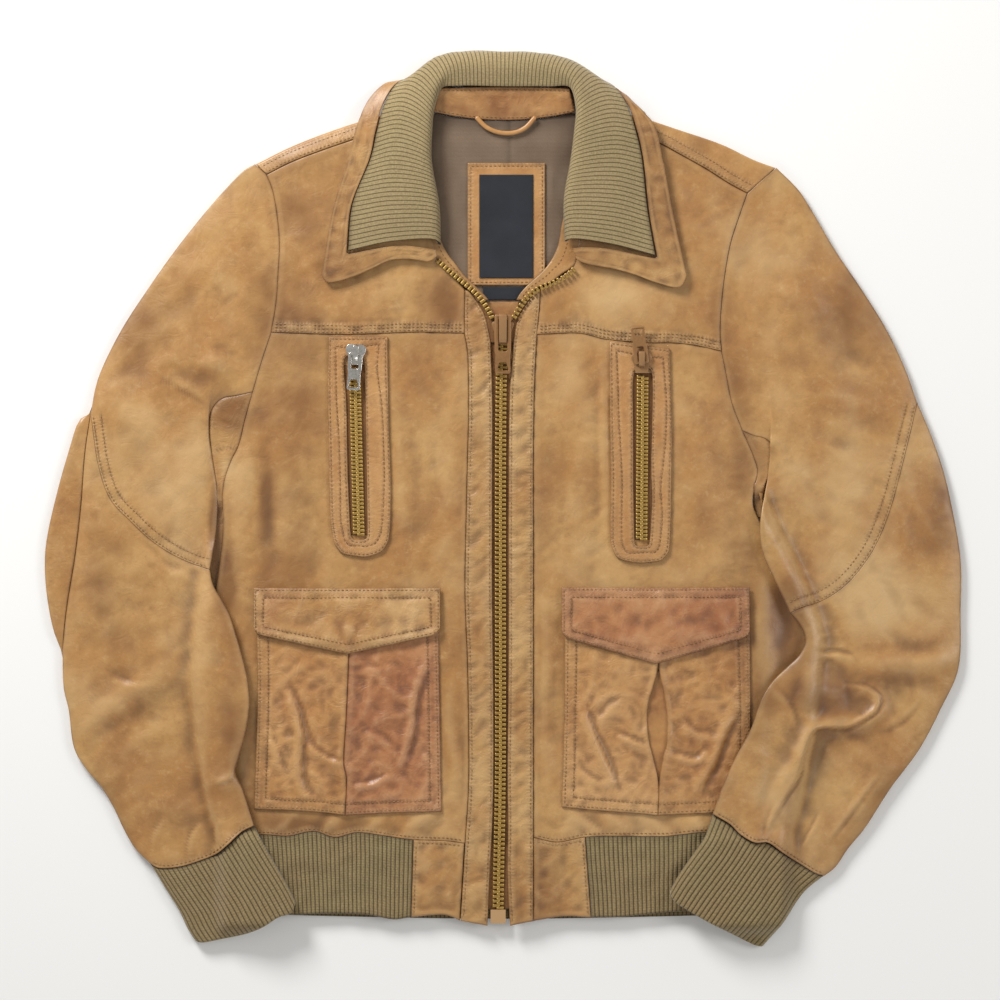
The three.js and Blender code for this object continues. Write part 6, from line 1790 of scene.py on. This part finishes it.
labelRise = {"patch": 2.3, "cloth": 3.4, "tab": 1.3, "flap": 0.9}  # mm over the lining
patchStyle = {"gap": 0.0, "edge": 0.7, "depth": 1.4, "crumple": 0.6, "grain": 0.15, "puff": 0.1}
patchLines = [curve([[-28.5, 184.5], [-28.5, 283.5]]), curve([[32.5, 184.5], [32.5, 283.5]]),
              curve([[-28.5, 184.5], [32.5, 184.5]]), curve([[-28.5, 283.5], [32.5, 283.5]])]
panel("label_patch", rectangle(-31, 182, 35, 286), onLining(labelRise["patch"]), weltLeather,
      dict(patchStyle, tone=0.25), patchLines)
stitchLines(patchLines, onLining(labelRise["patch"]))
clothStyle = {"gap": 0.0, "edge": 0.35, "depth": 0.7, "crumple": 0.0, "grain": 0.05}
panel("label_cloth", rectangle(-21, 188, 25, 276), onLining(labelRise["cloth"]), labelWeave,
      clothStyle)
panel("size_tab", rectangle(-18, 169.5, 21, 180.6, 1.5), onLining(labelRise["tab"]), labelWeave,
      dict(clothStyle, depth=0.9))
panel("zip_flap", rectangle(-15, 143, 13, 168.2, 1.5), onLining(labelRise["flap"]), weltLeather,
      dict(patchStyle, tone=-0.1), nodes=[])
print("neck")


def tube(name, line, wide, high, count, sides, look, nodes):
    path = evenly(line, count)
    way = np.gradient(path, axis=0)
    way /= np.linalg.norm(way, axis=1, keepdims=True)
    side = np.cross([0, 0, 1.0], way)
    side /= np.linalg.norm(side, axis=1, keepdims=True)
    rise = np.cross(way, side)
    angle = np.linspace(0, 2 * np.pi, sides, endpoint=False)
    end = np.ones(count)
    end[[0, -1]] = 0.05
    rings = (path[:, None] + (wide * end)[:, None, None] * np.cos(angle)[None, :, None]
             * side[:, None] + (high * end)[:, None, None] * np.sin(angle)[None, :, None]
             * rise[:, None])
    number = np.arange(count * sides).reshape(count, sides)
    a, b = number[:-1], np.roll(number[:-1], -1, 1)
    d, c = number[1:], np.roll(number[1:], -1, 1)
    quads = np.stack([a, d, c, b], -1).reshape(-1, 4)
    piece = setMesh(name + "_sewn", rings.reshape(-1, 3), quads, plainMarks, [look])
    return sew(piece, nodes)


tube("hanger_loop", [[-24, 325, 12.8], [-15, 316, 12.6], [-4, 311.5, 12.2], [9, 311.5, 12.2],
                     [18, 315.5, 12.6], [27, 325, 12.9]], 1.9, 1.1, 60, 14, weltLeather,
     ["hanger_loop"])

# Zip teeth: moulded on the tape's cord, each with a waist and a rounded head
tooth = {"long": 2.95, "crown": 0.4, "dip": 0.45, "soft": 0.18}
zips = {"pitch": 3.9, "half": 4.7, "openHalf": 2.6, "openHeight": 12.3, "tapeHalf": 19,
        "chestPitch": 3.25, "chestHalf": 4.9, "chestTapeHalf": 9.6}


def teeth(name, line, half, pitch, bottom, top, nodes, heightOf, sides=(1, -1), past=1.3,
          waist=0.74):
    line = np.asarray(line, float)
    total = lengths(line)[-1]
    base = [[0, -1], [0.55, -1], [1, -0.72], [1, 0.72], [0.55, 1], [0, 1]]
    points, quads = [], []
    for side in sides:
        count = int(total / pitch)
        for k in range(count):
            s = (k + (0.25 if side > 0 else 0.75)) * pitch
            p, q = at(line, [s / total, min(1, (s + 0.5) / total)])
            way = (q - p) / np.linalg.norm(q - p)
            out = np.array([way[1], -way[0], 0]) * side
            start = len(points)
            z0 = float(heightOf(p[0], p[1]))
            for level, shrink in ((bottom, 1.0), (top - tooth["crown"], 1.0), (top, 0.72)):
                for a, b in base:
                    reach = half - a * (half + past)
                    thick = tooth["long"] / 2 * (0.95 if a < 0.3 else (waist if a < 0.7 else 1.0))
                    mid = (half - past) / 2
                    off = mid + (reach - mid) * (shrink if level == top else 1)
                    spot = p + out * off + way * b * thick * shrink
                    dip = tooth["dip"] if 0.3 < a < 0.7 and level > bottom else 0
                    points.append([spot[0], spot[1], z0 + level - dip])
            for ring in (0, 6):
                for m in range(6):
                    n = (m + 1) % 6
                    quads.append([start + ring + m, start + ring + n, start + ring + 6 + n,
                                  start + ring + 6 + m])
            quads.append([start + 12, start + 13, start + 16, start + 17])
            quads.append([start + 13, start + 14, start + 15, start + 16])
            if side > 0:
                for m in range(len(quads) - 14, len(quads)):
                    quads[m] = quads[m][::-1]
    piece = setMesh(name + "_moulded", points, quads, plainMarks, [brassTeeth])
    softEdges(piece, tooth["soft"], 1)
    return sew(piece, nodes)


zipRun = curve(zipLine)
teeth("zip_chain", zipRun, zips["half"], zips["pitch"], -2.7, 0.55, ["zip_chain"], heightOf=bodyTop)
for name, line, side in (("zip_teeth_left", teethL, 1), ("zip_teeth_right", teethR, -1)):
    teeth(name, evenly(line, 200), zips["openHalf"], zips["pitch"], -1.9, 0.7, [name],
          sides=(side,), heightOf=lambda px, py: zips["openHeight"], past=2.0, waist=0.9)
tapeStyle = {"gap": 0.0, "edge": 0.3, "depth": 0.8, "crumple": 0.0, "grain": 0.0}
# the tapes spread above the slider and pass under the plackets
for name, inner, outer in (
        ("zip_tape_left_open", [[-3, 133], [-5, 146], [-11, 158], [-15, 164], [-22, 174.5], [-28, 181]],
         [[-12, 133], [-18, 157], [-24.5, 168], [-32, 179]]),
        ("zip_tape_right_open", [[1.5, 133], [4, 146], [9, 157], [12.5, 162], [19, 171], [26, 178]],
         [[9, 133], [13.5, 154], [20.5, 166], [30, 180]])):
    panel(name, between(curve(inner), curve(outer), 1.6),
          lambda px, py: bodyTop(px, py) + 0.2, zipTape,
          dict(tapeStyle, depth=0.6), nodes=[])
tapeRun = curve([list(p) for p in zipLine[:-1]] + [[-2, 137]])
for name, a, b in (("zip_tape_left", -zips["tapeHalf"], -0.3),
                   ("zip_tape_right", 0.3, zips["tapeHalf"])):
    left, right = [tapeRun + [d, 0, 0] for d in (a, b)]
    panel(name, between(left, right, 2.4), lambda px, py: bodyTop(px, py) - 1.9, zipTape,
          tapeStyle)

for name, x0, y0, x1, y1 in (("chest_zip_left", -127, 114, -123.5, -31),
                             ("chest_zip_right", 118, 107, 117, -35)):
    chestRun = curve([[x1, y1], [(x0 + x1) / 2, (y0 + y1) / 2], [x0, y0]])
    teeth(name, chestRun, zips["chestHalf"], zips["chestPitch"], 0.4, 3.0, [name], heightOf=bodyTop)
    left, right = [chestRun + [d, 0, 0] for d in (-zips["chestTapeHalf"], zips["chestTapeHalf"])]
    panel(name + "_tape", between(left, right, 2.0),
          lambda px, py: bodyTop(px, py) + 0.44, zipTape,
          dict(tapeStyle, depth=0.36), nodes=[])
print("zips")


# Sliders and pulls are die-cast plates: an outline with holes, its edges rounded
def castPlate(rings, low, high, side=False):
    flat = np.vstack([np.asarray(ring, float) for ring in rings])
    caps = tessellate_polygon([[(p[0], p[1], 0) for p in ring] for ring in rings])
    count = len(flat)
    points = np.vstack([np.c_[flat, np.full(count, low)], np.c_[flat, np.full(count, high)]])
    if side:  # drawn from the side: its plane stands up along Y, low to high along X
        points = points[:, [2, 0, 1]]
    faces = [list(t) for t in caps] + [[n + count for n in t] for t in caps]
    first = 0
    for ring in rings:
        for k in range(len(ring)):
            a, b = first + k, first + (k + 1) % len(ring)
            faces.append([a, b, b + count, a + count])
        first += len(ring)
    return points, faces


def castPiece(node, plates, place, lean, look, body="jacket", soft=0.35):
    points, faces = [], []
    for plate, quads in plates:
        faces += [[n + sum(len(q) for q in points) for n in f] for f in quads]
        points.append(plate)
    points = np.vstack(points)
    c, d = math.cos(math.radians(lean)), math.sin(math.radians(lean))
    x, y = points[:, 0] * c - points[:, 1] * d, points[:, 0] * d + points[:, 1] * c
    mesh = bpy.data.meshes.new(node + "_cast")
    mesh.from_pydata((np.c_[x, y, points[:, 2]] + place) * 0.001, [], faces)
    tidy = bmesh.new()
    tidy.from_mesh(mesh)
    bmesh.ops.recalc_face_normals(tidy, faces=tidy.faces)
    tidy.to_mesh(mesh)
    tidy.free()
    mesh.materials.append(look)
    piece = bpy.data.objects.new(node + "_cast", mesh)
    bpy.context.scene.collection.objects.link(piece)
    softEdges(piece, soft, 3, 35)
    mesh.shade_smooth()
    return sew(piece, [node], body)


def mirrored(points):  # the left half of an outline, from the top down, and its mirror image
    return points + [[-x, y] for x, y in points[::-1]]


def slider(node, place, lean, look, body, bridge, thick):
    wide, back, front = bridge
    loop = [[back, -0.3], [back, 2.7], [back - 1.6, 4.3], [front + 4, 4.1], [front + 1, 2.4],
            [front, -0.3]]
    gap = [[1.1, 0.1], [1.1, 2.5], [0.4, 3.0], [-2.6, 3.0], [-3.4, 2.4], [-3.4, 0.1]]
    castPiece(node, [castPlate([mirrored(body)], -thick, 0),
                     castPlate([loop, gap], -wide, wide, True)], place, lean, look)


def pullTab(node, place, lean, look, size):
    arm, slit, slitEnd, hole, holeEnd, foot = size
    outline = [[-arm + 1, 1.2], [-arm, 0.2], [-arm, slitEnd], [-arm + 0.7, slitEnd - 3],
               [-arm + 0.4, holeEnd], [-arm + 0.6, foot + 0.8], [-arm + 1.6, foot]]
    window = [[-slit, -0.9], [-slit, slitEnd + 1], [-slit + 1, slitEnd]]
    lower = [[-arm * 0.36, hole], [-arm * 0.46, hole - 1], [-arm * 0.66, holeEnd + 0.6],
             [-arm * 0.6, holeEnd]]
    castPiece(node, [castPlate([mirrored(outline), mirrored(window), mirrored(lower)], -0.75, 0.75)],
              np.add(place, [0, 0, 1.5]), lean, look, node, 0.4)


sliderBody = [[-3.2, 8.6], [-6.8, 8.0], [-8.8, 5.2], [-8.6, 3.2], [-5.8, -4], [-5.4, -9]]
mainBody = [[-3.6, -2.6], [-4.4, -4.2], [-8.8, -4.8], [-9.4, -7], [-7.3, -13.5], [-6.9, -24]]
mainPlace = (-1, 155.5, 11.4)
chestPlaces = {"left": (-126, 123, float(torsoTop(-126, 122)) + 5.4),
               "right": (117, 116, float(torsoTop(117, 116)) + 5.4)}
slider("main_slider", mainPlace, 0, paintedZinc, mainBody, (3.3, 2.2, -23.7), 5.4)
pullTab("main_pull", mainPlace, 0, paintedZinc, (7.0, 3.9, -30, -39.5, -46.4, -49))
slider("chest_slider_left", chestPlaces["left"], -3, nickelZinc, sliderBody,
       (2.2, 8.4, -5.4), 1.8)
pullTab("chest_pull_left", chestPlaces["left"], -4, nickelZinc,
        (6.1, 3.1, -12.5, -21.4, -28.2, -30.6))
slider("chest_slider_right", chestPlaces["right"], 0, paintedZinc, sliderBody,
       (2.5, 9.6, -4.4), 1.8)
pullTab("chest_pull_right", chestPlaces["right"], 187, paintedZinc,
        (6.2, 3.1, -13.5, -22.5, -28.6, -30.6))

# the box at the foot of the zip keeps the shape of its solid
zipBox = bpy.data.objects.new("zip_box_cast", cadNodes["zip_box"].data.copy())
bpy.context.scene.collection.objects.link(zipBox)
zipBox.data.materials.clear()
zipBox.data.materials.append(paintedZinc)
softEdges(zipBox, 0.5, 3, 25)
zipBox.data.shade_smooth()
sew(zipBox, ["zip_box"])

stitches = setMesh("stitching", np.vstack(threadBars["points"]), np.vstack(threadBars["quads"]),
                   {}, [thread])
sew(stitches)
print("stitches:", sum(len(q) for q in threadBars["quads"]) // 16)

# Floor, light and camera
floorMaterial, _, floorShader, _ = newMaterial("floor_matt_white_card")
floorShader.inputs["Base Color"].default_value = linear("#F4F3F1")
floorShader.inputs["Roughness"].default_value = 0.9
bpy.ops.mesh.primitive_plane_add(size=8, location=(0, 0, -0.0002))
floor = bpy.context.object
floor.name = "floor"
floor.data.materials.append(floorMaterial)

# metres; the view is as wide as this at the height of the jacket's middle
studio = {"view": 0.85, "height": 3.2, "sensor": 36, "middle": 0.012,
          "centre": (-0.0034, -0.00085), "sky": 0.36,
          "key": ((-1.1, 1.6, 1.15), 0.8, 52), "fill": ((1.7, 0.2, 1.6), 1.0, 12),
          "low": ((0.1, -1.8, 1.3), 1.0, 5)}
world = bpy.data.worlds.new("studio")
bpy.context.scene.world = world
world.use_nodes = True
world.node_tree.nodes["Background"].inputs[0].default_value = (1, 0.99, 0.97, 1)
world.node_tree.nodes["Background"].inputs[1].default_value = studio["sky"]
for name in ("key", "fill", "low"):
    spot, size, power = studio[name]
    lamp = bpy.data.lights.new(name, "AREA")
    lamp.shape = "DISK"
    lamp.size = size
    lamp.energy = power
    holder = bpy.data.objects.new(name, lamp)
    holder.location = spot
    aim = -np.array(spot)
    holder.rotation_euler = (math.atan2(math.hypot(aim[0], aim[1]), -aim[2]), 0,
                             math.atan2(aim[1], aim[0]) - math.pi / 2)
    bpy.context.scene.collection.objects.link(holder)
lens = bpy.data.cameras.new("camera")
lens.sensor_width = studio["sensor"]
lens.lens = studio["sensor"] * (studio["height"] - studio["middle"]) / studio["view"]
camera = bpy.data.objects.new("camera", lens)
camera.location = (*studio["centre"], studio["height"])
bpy.context.scene.collection.objects.link(camera)
bpy.context.scene.camera = camera
bpy.context.scene.view_settings.view_transform = "Standard"
